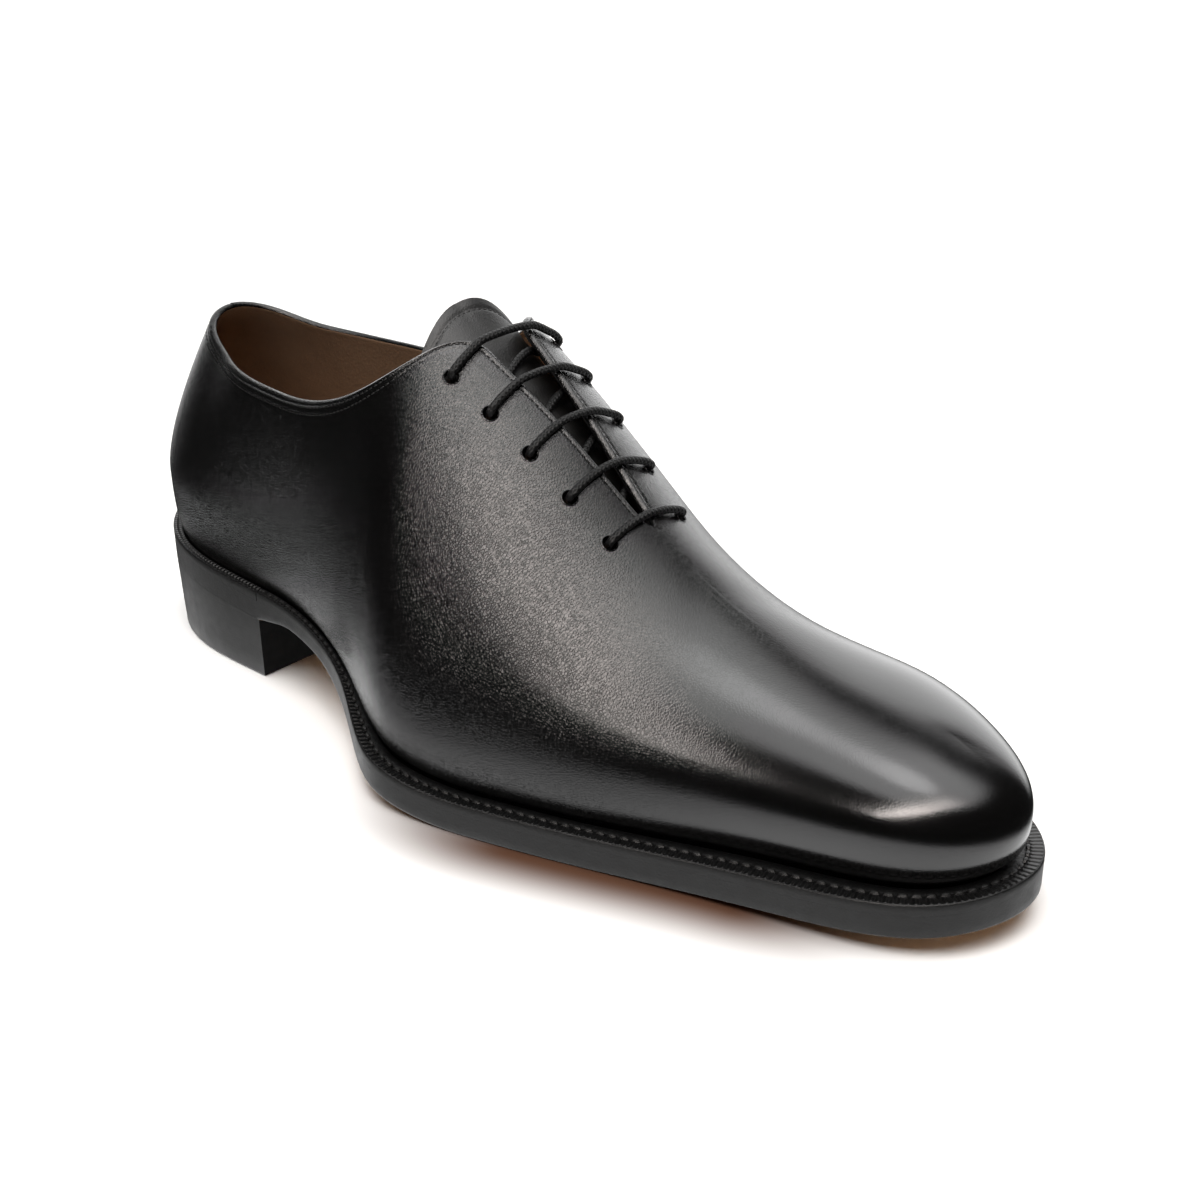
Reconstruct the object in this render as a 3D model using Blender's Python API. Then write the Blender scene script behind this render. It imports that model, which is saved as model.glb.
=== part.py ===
"""Plain-toe oxford in black leather: a right shoe, one-piece upper, straight-bar lacing.

The shoe stands on the floor z = 0 with its toe along +X and its medial side along +Y.
All sizes below are millimetres; meshes are made in metres, centred on the sole's plan.
"""
import math

import bmesh
import bpy
import numpy as np
from mathutils import Matrix, Vector

# Driving sizes of the shoe
SOLE_LENGTH = 303.0
BALL_WIDTH = 106.0
INSTEP_HEIGHT = 114.0
HEEL_BACK_HEIGHT = 24.5
HEEL_BREAST_HEIGHT = 19.5
HEEL_LENGTH = 70.0
TOE_SPRING = 6.7
OUTSOLE_THICKNESS = 6.0
WELT_THICKNESS = 3.0
INSOLE_THICKNESS = 3.0
UPPER_WALL = 2.2
TONGUE_WALL = 1.6
LACE_DIAMETER = 2.1
FIT_GAP = 0.3
WELT_GROOVE = 0.8

# Flat tread under the ball of the foot; the edge of the sole, as inset and height of each corner;
# and the bevel that thins the edge at the waist: its stretch along the shoe, rise and reach inwards
TREAD_MIDDLE = 189.0
TREAD_HALF = 12.0
TREAD_RIM = 1.0
OUTSOLE_EDGE = ((0.6, 0.0), (0.15, 0.3), (0.0, 0.9), (0.0, OUTSOLE_THICKNESS))
WAIST_BEVEL = (70.0, 86.0, 100.0, 122.0)
WAIST_BEVEL_RISE = 2.7
WAIST_BEVEL_REACH = 9.0
INSOLE_EDGE = ((0.0, 0.0), (0.0, INSOLE_THICKNESS - 0.6), (0.8, INSOLE_THICKNESS))
WELT_CORNER = 0.5
HEEL_BASE_INSET = 0.8
HEEL_BASE_EDGE = 0.7
HEEL_BREAST_LEAN = 1.0

# Collar heights above the floor, and the throat that the facings leave open
COLLAR_BACK = 104.0
COLLAR_BACK_X = 26.0
COLLAR_LOW_X = 84.0
COLLAR_LOW_LATERAL = 91.0
COLLAR_LOW_MEDIAL = 93.0
COLLAR_FRONT_X = 163.0
COLLAR_FRONT = 136.0
COLLAR_BACK_POWER = 3.0
COLLAR_FRONT_POWER = 2.2
THROAT_START_X = 110.0
THROAT_END_X = 195.0
THROAT_HALF_TOP = 8.0
THROAT_HALF_END = 0.8
CORNER_BLEND = 11.0

# Eyelet rows, from the top of the facings to the vamp, and how far they lie from the ridge
EYELET_ROWS = 5
EYELET_FIRST_X = 147.5
EYELET_LAST_X = 193.0
EYELET_FIRST_ASIDE = 19.5
EYELET_LAST_ASIDE = 13.9
EYELET_RADIUS = 2.0

# Tongue: its two ends along the shoe, half widths there, how far its medial top corner is cut
# back, how high its top stands up and where across, the room it leaves for the lace under the
# facings, and the stretch of its length in which it closes up to the vamp
TONGUE_TOP_X = 135.0
TONGUE_FRONT_X = 216.0
TONGUE_HALF_TOP = 23.0
TONGUE_HALF_FRONT = 13.0
TONGUE_CORNER = 3.5
TONGUE_TIP_LIFT = 2.0
TONGUE_TIP_LENGTH = 0.2
TONGUE_TIP_MIDDLE = 0.55
TONGUE_TIP_WIDTH = 0.6
TONGUE_CLOSE_START = 0.70
TONGUE_CLOSE_LENGTH = 0.25
LACE_ROOM = 4.0

# Lace under the facings: how far the long run lies outside the eyelets, and the shares of a run
# and of a slant at which the lace has a point
LACE_RUN_ASIDE = 5.5
LACE_RUN_SHARES = (0.0, 0.25, 0.5, 0.75)
LACE_SLANT_SHARES = (0.04, 0.28, 0.5, 0.72, 0.96)
LACE_LEAN = 0.6
LACE_TAIL = 5.0

# Sections of the last, heel to toe. Along the length in % of SOLE_LENGTH, breadths from the
# heel's centre line in % of BALL_WIDTH, ridge heights in % of INSTEP_HEIGHT. margin is the
# welt left outside the upper, bulge and belly the reach and height of the fullest point
# above the feather line; rise and reach set how full the side and the crown are.
SECTION_COLUMNS = (
    "lat_x", "lat_y", "lat_margin", "med_x", "med_y", "med_margin",
    "ridge_x", "ridge_y", "ridge_z",
    "lat_bulge", "lat_belly", "lat_rise", "lat_reach",
    "med_bulge", "med_belly", "med_rise", "med_reach",
)
SECTIONS = {
    "heel_back": (0, 0, 3.0, 0, 0, 3.0, 24, 0, 130, 1.7, 19, .20, .12, 1.7, 19, .20, .12),
    "heel_round": (3.3, 15.9, 3.0, 3.3, 15.9, 3.0, 24.4, 0, 131, 2.0, 18, .21, .15, 2.0, 18, .21, .15),
    "heel_side": (11, 27.2, 3.0, 11, 27.2, 3.0, 25.8, 0, 135, 0.1, 17, .14, .23, 0.1, 17, .14, .23),
    "breast": (24, 30, 3.2, 24, 29, 3.2, 28, 0, 137, 1.2, 17, .41, .58, 1.2, 17, .41, .58),
    "waist": (38.3, 38.7, 3.4, 38, 27.5, 3.5, 39, -2.5, 119, 3.0, 18, .44, .56, 4.0, 24, .53, .63),
    "instep": (47, 53.3, 6.8, 49, 34, 5.0, 48.5, -3.2, 100, 3.6, 17, .46, .56, 4.0, 22, .60, .67),
    "throat": (52.8, 54.9, 7.0, 57.5, 42.5, 6.5, 57, -2.5, 81.5, 3.9, 16, .48, .55, 3.0, 18, .42, .56),
    "joint": (62.3, 49.2, 7.0, 65, 46, 7.0, 64.5, -2.0, 63, 3.8, 15, .52, .56, 3.0, 16, .33, .44),
    "ball": (68.8, 44.1, 7.0, 73, 43, 7.0, 72, -1.2, 50, 3.5, 15, .56, .57, 3.0, 15, .35, .48),
    "vamp": (83.3, 33.5, 8.6, 84, 39.5, 7.5, 85, 1.2, 40, 3.4, 14, .59, .59, 3.0, 14, .61, .62),
    "toe_round": (97, 20.3, 8.0, 95, 24, 8.0, 90.7, 2.0, 37, 3.7, 12, .62, .61, 3.2, 13, .61, .60),
    "toe_tip": (100, -3, 8.0, 100, 3, 8.0, 92, 2.2, 36, 4.5, 10, .65, .63, 4.5, 10, .65, .63),
}
BELLY_LEVEL = 0.22
FLARE_OUT = 0.75
FLARE_UP = 0.10
BELLY_DROP = 0.55

MILLIMETRE = 0.001


def closed_spline(knots, values, at):
    """Smooth closed curve through values; knots has one more entry than values."""
    count = len(values)
    span = np.diff(knots)
    slope = (np.roll(values, -1, axis=0) - values) / span[:, None]
    system = np.zeros((count, count))
    for i in range(count):
        system[i, i - 1] += span[i - 1]
        system[i, i] += 2 * (span[i - 1] + span[i])
        system[i, (i + 1) % count] += span[i]
    bend = np.linalg.solve(system, 6 * (slope - np.roll(slope, 1, axis=0)))
    at = np.mod(at, knots[-1])
    i = np.clip(np.searchsorted(knots, at, side="right") - 1, 0, count - 1)
    j = (i + 1) % count
    width = span[i][:, None]
    a = (knots[i + 1] - at)[:, None] / width
    b = 1 - a
    curve = a * values[i] + b * values[j]
    return curve + ((a**3 - a) * bend[i] + (b**3 - b) * bend[j]) * width**2 / 6


def section_loop():
    """Knots and values of the sections round the sole: lateral side out, medial side back."""
    rows = np.array(list(SECTIONS.values()), float)
    column = {name: rows[:, i] for i, name in enumerate(SECTION_COLUMNS)}
    along, across, up = SOLE_LENGTH / 100, BALL_WIDTH / 100, INSTEP_HEIGHT / 100
    lateral = np.column_stack([column["lat_x"] * along, -column["lat_y"] * across])
    medial = np.column_stack([column["med_x"] * along, column["med_y"] * across])
    ridge = [column["ridge_x"] * along, column["ridge_y"] * across, column["ridge_z"] * up]
    forms = ("bulge", "belly", "rise", "reach")
    lateral_form = [column["lat_" + name] for name in forms]
    medial_form = [column["med_" + name] for name in forms]
    out = np.column_stack([lateral, column["lat_margin"], *ridge, *lateral_form])
    back = np.column_stack([medial, column["med_margin"], *ridge, *medial_form])
    step = sum(np.linalg.norm(np.diff(side, axis=0), axis=1) for side in (lateral, medial)) / 2
    station = np.concatenate([[0.0], np.cumsum(step)])
    total = station[-1]
    knots = np.concatenate([station, 2 * total - station[-2::-1]])
    return knots, np.vstack([out, back[-2:0:-1]]), total


KNOTS, LOOP, HALF_LOOP = section_loop()
SEAT_STATION = KNOTS[3]


def section_at(s):
    return closed_spline(KNOTS, LOOP, np.atleast_1d(np.asarray(s, float)))


def outline_at(s):
    """Section values and the outward plan normal of the sole's edge."""
    step = 0.5
    ahead, behind = section_at(s + step), section_at(s - step)
    tangent = ahead[:, :2] - behind[:, :2]
    tangent /= np.linalg.norm(tangent, axis=1, keepdims=True)
    return section_at(s), np.column_stack([tangent[:, 1], -tangent[:, 0]])


def sole_under(x):
    """Height of the outsole's under face: heel seat, arch, tread, toe spring."""
    x = np.asarray(x, float)
    seat_fall = HEEL_BACK_HEIGHT - HEEL_BREAST_HEIGHT
    seat = HEEL_BACK_HEIGHT - seat_fall * np.clip(x / HEEL_LENGTH, 0, 1)
    tread_back, tread_front = TREAD_MIDDLE - TREAD_HALF, TREAD_MIDDLE + TREAD_HALF
    t = np.clip((tread_back - x) / (tread_back - HEEL_LENGTH), 0, 1)
    arch = HEEL_BREAST_HEIGHT * t * t * (3 - 2 * t)
    spring = TOE_SPRING * np.clip((x - tread_front) / (SOLE_LENGTH - tread_front), 0, None) ** 2
    return np.where(x < HEEL_LENGTH, seat, arch + spring)


def waist_bevel(x):
    """Share of the bevel at x: none at the heel's breast, full at the waist, none at the ball."""
    start, full, fading, end = WAIST_BEVEL
    up = np.clip((x - start) / (full - start), 0, 1)
    down = np.clip((end - x) / (end - fading), 0, 1)
    return up * up * (3 - 2 * up) * down * down * (3 - 2 * down)


def outsole_top(x):
    return sole_under(x) + OUTSOLE_THICKNESS


def welt_top(x):
    return outsole_top(x) + WELT_THICKNESS


def ribs(s, v):
    """Points of the upper's outer face, one row per station s, from feather (0) to ridge (1)."""
    section, normal = outline_at(s)
    normal = np.column_stack([normal, np.zeros(len(normal))])
    margin, ridge = section[:, 2:3], section[:, 3:6]
    bulge, belly, rise, reach = (section[:, i:i + 1] for i in range(6, 10))
    up = np.array([0.0, 0.0, 1.0])
    foot = np.column_stack([section[:, :2], np.zeros(len(section))]) - normal * margin
    foot[:, 2] = welt_top(foot[:, 0]) + FIT_GAP
    side = foot + bulge * normal + belly * up
    away = side[:, :2] - ridge[:, :2]
    distance = np.linalg.norm(away, axis=1, keepdims=True)
    away /= distance
    fall = ridge_slope(s)
    shoulder = side + rise * (ridge[:, 2:3] - side[:, 2:3]) * up
    crown = ridge + np.column_stack([away, fall * away[:, 0]]) * (reach * distance)
    flare = foot + FLARE_OUT * bulge * normal + FLARE_UP * belly * up
    under = side - BELLY_DROP * belly * up
    points = np.zeros((len(section), len(v), 3))
    for j, level in enumerate(v):
        if level <= BELLY_LEVEL:
            t, corners = level / BELLY_LEVEL, (foot, flare, under, side)
        else:
            t, corners = (level - BELLY_LEVEL) / (1 - BELLY_LEVEL), (side, shoulder, crown, ridge)
        weights = ((1 - t) ** 3, 3 * (1 - t) ** 2 * t, 3 * (1 - t) * t * t, t**3)
        points[:, j] = sum(w * c for w, c in zip(weights, corners))
    return points


def ridge_slope(s):
    """Fall of the crest line along the shoe; level behind the seat, steady at the toe tip."""
    s = np.mod(s, 2 * HALF_LOOP)
    s = np.where(s > HALF_LOOP, 2 * HALF_LOOP - s, s)
    s = np.clip(s, SEAT_STATION, HALF_LOOP - 4.0)
    step = 2.0
    rise = section_at(s + step)[:, 3:6] - section_at(s - step)[:, 3:6]
    return rise[:, 2] / np.maximum(rise[:, 0], 0.2)


def leather(points, s):
    """Positive on the upper, negative in the collar or the throat opening."""
    x, y, z = points[..., 0], points[..., 1], points[..., 2]
    lateral = (np.asarray(s) < HALF_LOOP)[:, None]
    low = np.where(lateral, COLLAR_LOW_LATERAL, COLLAR_LOW_MEDIAL)
    back = np.clip((COLLAR_LOW_X - x) / (COLLAR_LOW_X - COLLAR_BACK_X), 0, None) ** COLLAR_BACK_POWER
    front = np.clip((x - COLLAR_LOW_X) / (COLLAR_FRONT_X - COLLAR_LOW_X), 0, None)
    collar = low + (COLLAR_BACK - low) * back + (COLLAR_FRONT - low) * front**COLLAR_FRONT_POWER
    below_collar = collar - z
    ridge_y = section_at(s)[:, 4][:, None]
    beside_throat = np.abs(y - ridge_y) - throat_half(x)
    mix = np.clip(0.5 + 0.5 * (beside_throat - below_collar) / CORNER_BLEND, 0, 1)
    least = beside_throat * (1 - mix) + below_collar * mix
    return least - CORNER_BLEND * mix * (1 - mix)


def throat_half(x):
    """Half width of the gap between the facings; none behind the collar or ahead of the throat."""
    open_part = (THROAT_END_X - x) / (THROAT_END_X - EYELET_FIRST_X)
    half = THROAT_HALF_END + (THROAT_HALF_TOP - THROAT_HALF_END) * np.clip(open_part, 0, 1.3)
    return np.where((x > THROAT_START_X) & (x < THROAT_END_X), half, -50.0)


def top_level(s):
    """Level at which each rib meets the collar or throat edge, or 1 where the vamp is closed."""
    v = np.linspace(BELLY_LEVEL, 1, 400)
    inside = leather(ribs(s, v), s)
    level = np.ones(len(s))
    for i, row in enumerate(inside):
        outside = np.nonzero(row < 0)[0]
        if len(outside):
            j = max(outside[0], 1)
            t = row[j - 1] / (row[j - 1] - row[j])
            level[i] = v[j - 1] + t * (v[j] - v[j - 1])
    return level


# Plan of the sole, sampled finely once: lateral side heel to toe, then medial side heel to toe
FINE = np.linspace(0, 2 * HALF_LOOP, 4001)[:-1]
FINE_SECTION, FINE_NORMAL = outline_at(FINE)
FINE_EDGE = np.column_stack([FINE_SECTION[:, :3], FINE_NORMAL])
HEEL_INDEX = int(np.argmin(FINE_EDGE[:, 0]))
FINE_EDGE = np.roll(FINE_EDGE, -HEEL_INDEX, axis=0)
TOE_INDEX = int(np.argmax(FINE_EDGE[:, 0]))
LATERAL_EDGE = FINE_EDGE[: TOE_INDEX + 1]
MEDIAL_EDGE = np.vstack([FINE_EDGE[TOE_INDEX:], FINE_EDGE[:1]])[::-1]
PLAN_CENTRE = (FINE_EDGE[:, :2].max(axis=0) + FINE_EDGE[:, :2].min(axis=0)) / 2


def edge_points(x, edge):
    """Rows of x, y, margin, normal x, normal y on one side of the sole."""
    return np.column_stack([np.interp(x, edge[:, 0], edge[:, i]) for i in range(5)])


def spread(start, end, count, round_start=True, round_end=True):
    """Stations along x, closer together where the outline turns."""
    t = np.linspace(0, 1, count)
    if round_start and round_end:
        t = (1 - np.cos(math.pi * t)) / 2
    elif round_start:
        t = 1 - np.cos(math.pi * t / 2)
    elif round_end:
        t = np.sin(math.pi * t / 2)
    return start + (end - start) * t


def metres(points):
    """Millimetre points in the shoe's own axes, moved over the plan's centre."""
    points = np.asarray(points, float) - np.array([PLAN_CENTRE[0], PLAN_CENTRE[1], 0.0])
    return points * MILLIMETRE


def ring(x, inset, height, margin_share=0.0, waist_inset=0.0):
    """Closed loop inset from the sole's edge: lateral side heel to toe, then medial side back.

    height gives z from x; margin_share adds that share of the welt margin to the inset, and
    waist_inset adds to it where the waist is bevelled.
    """
    lateral = edge_points(x, LATERAL_EDGE)
    medial = edge_points(x, MEDIAL_EDGE)[-2:0:-1]
    rows = np.vstack([lateral, medial])
    depth = inset + margin_share * rows[:, 2] + waist_inset * waist_bevel(rows[:, 0])
    plan = rows[:, :2] - rows[:, 3:5] * depth[:, None]
    return np.column_stack([plan, height(plan[:, 0])])


def add_points(mesh, points):
    return [mesh.verts.new(Vector(point)) for point in metres(points)]


def skin(mesh, first, second, closed=True):
    """Quads between two rows of vertices."""
    count = len(first)
    for i in range(count if closed else count - 1):
        j = (i + 1) % count
        mesh.faces.new((first[i], first[j], second[j], second[i]))


def cap(mesh, loop, stations, flip):
    """Close a loop made by ring with strips straight across the shoe."""
    lateral = loop[:stations]
    medial = [loop[0]] + loop[:stations - 1:-1] + [loop[stations - 1]]
    for k in range(stations - 1):
        corners = [lateral[k], lateral[k + 1], medial[k + 1], medial[k]]
        corners = list(dict.fromkeys(corners))
        mesh.faces.new(corners[::-1] if flip else corners)


def finish(name, mesh, material, sharp_degrees=40.0):
    """Turn a bmesh into a named, smooth-shaded object."""
    bmesh.ops.recalc_face_normals(mesh, faces=mesh.faces[:])
    data = bpy.data.meshes.new(name)
    mesh.to_mesh(data)
    mesh.free()
    data.shade_smooth()
    data.set_sharp_from_angle(angle=math.radians(sharp_degrees))
    data.materials.append(material)
    made = bpy.data.objects.new(name, data)
    bpy.context.scene.collection.objects.link(made)
    return made


def material(name, colour, roughness, coat=0.0):
    made = bpy.data.materials.new(name)
    made.use_nodes = True
    shader = made.node_tree.nodes["Principled BSDF"]
    shader.inputs["Base Color"].default_value = (*colour, 1.0)
    shader.inputs["Roughness"].default_value = roughness
    shader.inputs["Metallic"].default_value = 0.0
    shader.inputs["Coat Weight"].default_value = coat
    return made


def stacked_slab(name, rings, stations, finish_material):
    """Solid from a stack of rings, lowest first, closed across top and bottom."""
    mesh = bmesh.new()
    loops = [add_points(mesh, points) for points in rings]
    for lower, upper in zip(loops, loops[1:]):
        skin(mesh, lower, upper)
    cap(mesh, loops[0], stations, flip=True)
    cap(mesh, loops[-1], stations, flip=False)
    return finish(name, mesh, finish_material)


def make_outsole(finish_material):
    """Leather sole: arch, flat tread and toe spring, lower edge rounded off, waist bevelled."""
    flat = TREAD_HALF - TREAD_RIM
    kept = [HEEL_LENGTH, TREAD_MIDDLE - flat, TREAD_MIDDLE, TREAD_MIDDLE + flat]
    x = spread(FINE_EDGE[:, 0].min(), FINE_EDGE[:, 0].max(), 56)
    x = x[np.abs(x[:, None] - np.array(kept)).min(axis=1) > TREAD_HALF / 3]
    x = np.sort(np.concatenate([x, kept]))
    rings = []
    for inset, height in OUTSOLE_EDGE:
        reach = 0.0 if height else WAIST_BEVEL_REACH
        rise = WAIST_BEVEL_RISE if 0 < height < OUTSOLE_THICKNESS else 0.0
        rings.append(ring(
            x, inset, lambda at, h=height, r=rise: sole_under(at) + h + r * waist_bevel(at),
            waist_inset=reach,
        ))
    return stacked_slab("outsole", rings, len(x), finish_material)


def make_insole(finish_material):
    """Board inside the upper, lying on the sole."""
    inset = UPPER_WALL + 3 * FIT_GAP
    x = spread(FINE_EDGE[:, 0].min(), FINE_EDGE[:, 0].max(), 36)
    rings = [
        ring(x, inset + more, lambda at, h=h: outsole_top(at) + FIT_GAP + h, margin_share=1.0)
        for more, h in INSOLE_EDGE
    ]
    return stacked_slab("insole", rings, len(x), finish_material)


def band(name, rows, profile, finish_material):
    """Strip along part of the sole's edge. profile: (share of margin, inset, height) corners."""
    mesh = bmesh.new()
    sections = []
    for x, y, margin, normal_x, normal_y in rows:
        corners = []
        for share, inset, height in profile:
            depth = share * margin + inset
            px, py = x - normal_x * depth, y - normal_y * depth
            corners.append((px, py, float(outsole_top(px)) + height))
        sections.append(add_points(mesh, corners))
    for first, second in zip(sections, sections[1:]):
        skin(mesh, first, second)
    mesh.faces.new(sections[0])
    mesh.faces.new(sections[-1])
    return finish(name, mesh, finish_material)


def make_welt(finish_material):
    """Welt from the breast of the heel round the toe, and the rand that carries it round the heel."""
    toe_x = FINE_EDGE[:, 0].max()
    heel_x = FINE_EDGE[:, 0].min()
    top = WELT_THICKNESS
    outer = ((0, 0, FIT_GAP), (0, 0, top - WELT_CORNER), (0, WELT_CORNER, top))
    inner = ((1, -WELT_GROOVE, top), (1, -WELT_GROOVE, FIT_GAP))
    profile = outer + inner
    front = spread(HEEL_LENGTH, toe_x, 34, round_start=False)
    lateral = edge_points(front, LATERAL_EDGE)
    medial = edge_points(front, MEDIAL_EDGE)[-2::-1]
    welt = band("welt", np.vstack([lateral, medial]), profile, finish_material)
    rear = spread(heel_x, HEEL_LENGTH - FIT_GAP, 14, round_end=False)
    medial = edge_points(rear, MEDIAL_EDGE)[:0:-1]
    lateral = edge_points(rear, LATERAL_EDGE)
    rand = band("heel_rand", np.vstack([medial, lateral]), profile, finish_material)
    return welt, rand


def make_heel(finish_material):
    """Stacked heel under the seat: straight breast, sides drawn in a little to the floor."""
    x = spread(FINE_EDGE[:, 0].min(), HEEL_LENGTH, 18, round_end=False)
    lateral = edge_points(x, LATERAL_EDGE)
    medial = edge_points(x, MEDIAL_EDGE)[:0:-1]
    rows = np.vstack([lateral, medial])
    at_breast = np.isclose(rows[:, 0], HEEL_LENGTH)

    def outline(inset, lean, height):
        plan = rows[:, :2] - rows[:, 3:5] * inset
        plan[at_breast, 0] = HEEL_LENGTH - lean
        return np.column_stack([plan, height(plan[:, 0])])

    layers = (
        outline(HEEL_BASE_INSET + HEEL_BASE_EDGE, HEEL_BREAST_LEAN + HEEL_BASE_EDGE, np.zeros_like),
        outline(HEEL_BASE_INSET, HEEL_BREAST_LEAN, lambda at: np.full(len(at), HEEL_BASE_EDGE)),
        outline(0.0, 0.0, lambda at: sole_under(at) - FIT_GAP),
    )
    mesh = bmesh.new()
    loops = [add_points(mesh, layer) for layer in layers]
    for lower, upper in zip(loops, loops[1:]):
        skin(mesh, lower, upper)
    stations = len(x)
    for loop in (loops[0], loops[-1]):
        for k in range(stations - 1):
            corners = [loop[k], loop[k + 1], loop[-k - 1], loop[-k]]
            mesh.faces.new(list(dict.fromkeys(corners)))
    return finish("heel", mesh, finish_material)


def upper_stations():
    """Stations up one side: closer at the heel's turn, the collar's front corner and the toe."""
    heel_turn, corner_back, corner_ahead, toe_turn = 30.0, 30.0, 18.0, 34.0
    corner = float(np.interp(EYELET_FIRST_X, LATERAL_X, LATERAL_S))
    parts = (
        np.linspace(0, heel_turn, 5)[:-1],
        np.linspace(heel_turn, corner - corner_back, 8)[:-1],
        np.linspace(corner - corner_back, corner + corner_ahead, 12)[:-1],
        np.linspace(corner + corner_ahead, HALF_LOOP - toe_turn, 14)[:-1],
        np.linspace(HALF_LOOP - toe_turn, HALF_LOOP, 8),
    )
    return np.concatenate(parts)


# Where each station's ridge point lies along the shoe
LATERAL_S = np.linspace(4, HALF_LOOP - 4, 300)
LATERAL_X = section_at(LATERAL_S)[:, 3]

UPPER_LEVELS = 15


def make_upper(finish_material):
    """One-piece upper: collar and throat open on top, open to the insole below."""
    one_side = upper_stations()
    s = np.concatenate([one_side, 2 * HALF_LOOP - one_side[-2:0:-1]])
    top = top_level(s)
    mesh = bmesh.new()
    columns = []
    crest = {}
    for i, (station, level) in enumerate(zip(s, top)):
        v = np.linspace(0, level, UPPER_LEVELS)
        column = ribs(np.array([station]), v)[0]
        foot = column[0].copy()
        foot[2] = outsole_top(foot[0]) + FIT_GAP
        made = add_points(mesh, np.vstack([foot, column[:-1]]))
        mirror = (len(s) - i) % len(s)
        if level == 1.0 and mirror in crest:
            made.append(crest[mirror])
        else:
            made.append(add_points(mesh, column[-1:])[0])
        if level == 1.0:
            crest[i] = made[-1]
        columns.append(made)
    for i, column in enumerate(columns):
        beside = columns[(i + 1) % len(columns)]
        for j in range(len(column) - 1):
            corners = [column[j], beside[j], beside[j + 1], column[j + 1]]
            mesh.faces.new(list(dict.fromkeys(corners)))
    upper = finish("upper", mesh, finish_material, sharp_degrees=50.0)
    wall = upper.modifiers.new("wall", "SOLIDIFY")
    wall.thickness = UPPER_WALL * MILLIMETRE
    wall.offset = -1.0
    wall.use_even_offset = True
    cutter = make_eyelet_cutter()
    holes = upper.modifiers.new("eyelets", "BOOLEAN")
    holes.operation = "DIFFERENCE"
    holes.solver = "EXACT"
    holes.object = cutter
    return upper


def crown_at(x, across):
    """Point and outward normal of the upper's outer face over plan x, across from the ridge."""
    side = 0 if across < 0 else 1
    ridge_s = float(np.interp(x, LATERAL_X, LATERAL_S))
    s = ridge_s if side == 0 else 2 * HALF_LOOP - ridge_s
    v = 1.0
    ridge_y = section_at(ridge_s)[0, 4]
    goal = np.array([x, ridge_y + across])
    ds, dv = 0.5, 0.002
    for _ in range(12):
        here = ribs(np.array([s]), [v])[0, 0]
        by_s = (ribs(np.array([s + ds]), [v])[0, 0] - ribs(np.array([s - ds]), [v])[0, 0]) / (2 * ds)
        by_v = (here - ribs(np.array([s]), [v - dv])[0, 0]) / dv
        jacobian = np.column_stack([by_s[:2], by_v[:2]])
        change = np.linalg.solve(jacobian, goal - here[:2])
        s += float(np.clip(change[0], -8, 8))
        v = float(np.clip(v + np.clip(change[1], -0.15, 0.15), 0.3, 1.0))
    normal = np.cross(by_s, by_v)
    normal /= np.linalg.norm(normal)
    return here, normal if normal[2] > 0 else -normal


def eyelet_place(row, side):
    """x and distance across from the ridge of one eyelet; side -1 lateral, 1 medial."""
    share = row / (EYELET_ROWS - 1)
    x = EYELET_FIRST_X + (EYELET_LAST_X - EYELET_FIRST_X) * share
    return x, side * (EYELET_FIRST_ASIDE + (EYELET_LAST_ASIDE - EYELET_FIRST_ASIDE) * share)


def make_eyelet_cutter():
    """Ten punches through the facings."""
    mesh = bmesh.new()
    for row in range(EYELET_ROWS):
        for side in (-1, 1):
            point, normal = crown_at(*eyelet_place(row, side))
            turn = Vector((0, 0, 1)).rotation_difference(Vector(normal)).to_matrix().to_4x4()
            bmesh.ops.create_cone(
                mesh, cap_ends=True, segments=12,
                radius1=EYELET_RADIUS * MILLIMETRE, radius2=EYELET_RADIUS * MILLIMETRE,
                depth=3.2 * UPPER_WALL * MILLIMETRE,
                matrix=Matrix.Translation(Vector(metres(point - normal * UPPER_WALL / 2))) @ turn,
            )
    data = bpy.data.meshes.new("eyelet_punch")
    mesh.to_mesh(data)
    mesh.free()
    cutter = bpy.data.objects.new("eyelet_punch", data)
    cutter.hide_render = True
    cutter.display_type = "WIRE"
    bpy.context.scene.collection.objects.link(cutter)
    return cutter


def make_tongue(finish_material):
    """Tongue under the facings: clear of the lace, and up against the vamp at its front end."""
    rows, half_columns = 15, 7
    mesh = bmesh.new()
    grid = []
    for i in range(rows):
        t = i / (rows - 1)
        half = TONGUE_HALF_TOP + (TONGUE_HALF_FRONT - TONGUE_HALF_TOP) * t
        closing = np.clip((t - TONGUE_CLOSE_START) / TONGUE_CLOSE_LENGTH, 0, 1)
        closing = closing * closing * (3 - 2 * closing)
        depth = UPPER_WALL + LACE_ROOM + (1.2 * FIT_GAP - LACE_ROOM) * closing
        tip = max(0.0, 1 - t / TONGUE_TIP_LENGTH) ** 2
        line = []
        for j in range(-half_columns, half_columns + 1):
            share = j / half_columns
            x = TONGUE_TOP_X + (TONGUE_FRONT_X - TONGUE_TOP_X) * t
            x += TONGUE_CORNER * max(0.0, share) ** 3 * (1 - t) ** 2
            point, normal = crown_at(x, half * share)
            from_tip = (share - TONGUE_TIP_MIDDLE) / TONGUE_TIP_WIDTH
            lift = TONGUE_TIP_LIFT * tip * max(0.0, 1 - from_tip**2)
            line.append(point - normal * (depth - lift))
        grid.append(add_points(mesh, line))
    for first, second in zip(grid, grid[1:]):
        skin(mesh, first, second, closed=False)
    tongue = finish("tongue", mesh, finish_material)
    if sum(face.normal.z for face in tongue.data.polygons) < 0:
        tongue.data.flip_normals()
    wall = tongue.modifiers.new("wall", "SOLIDIFY")
    wall.thickness = TONGUE_WALL * MILLIMETRE
    wall.offset = -1.0
    wall.use_even_offset = True
    return tongue


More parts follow.
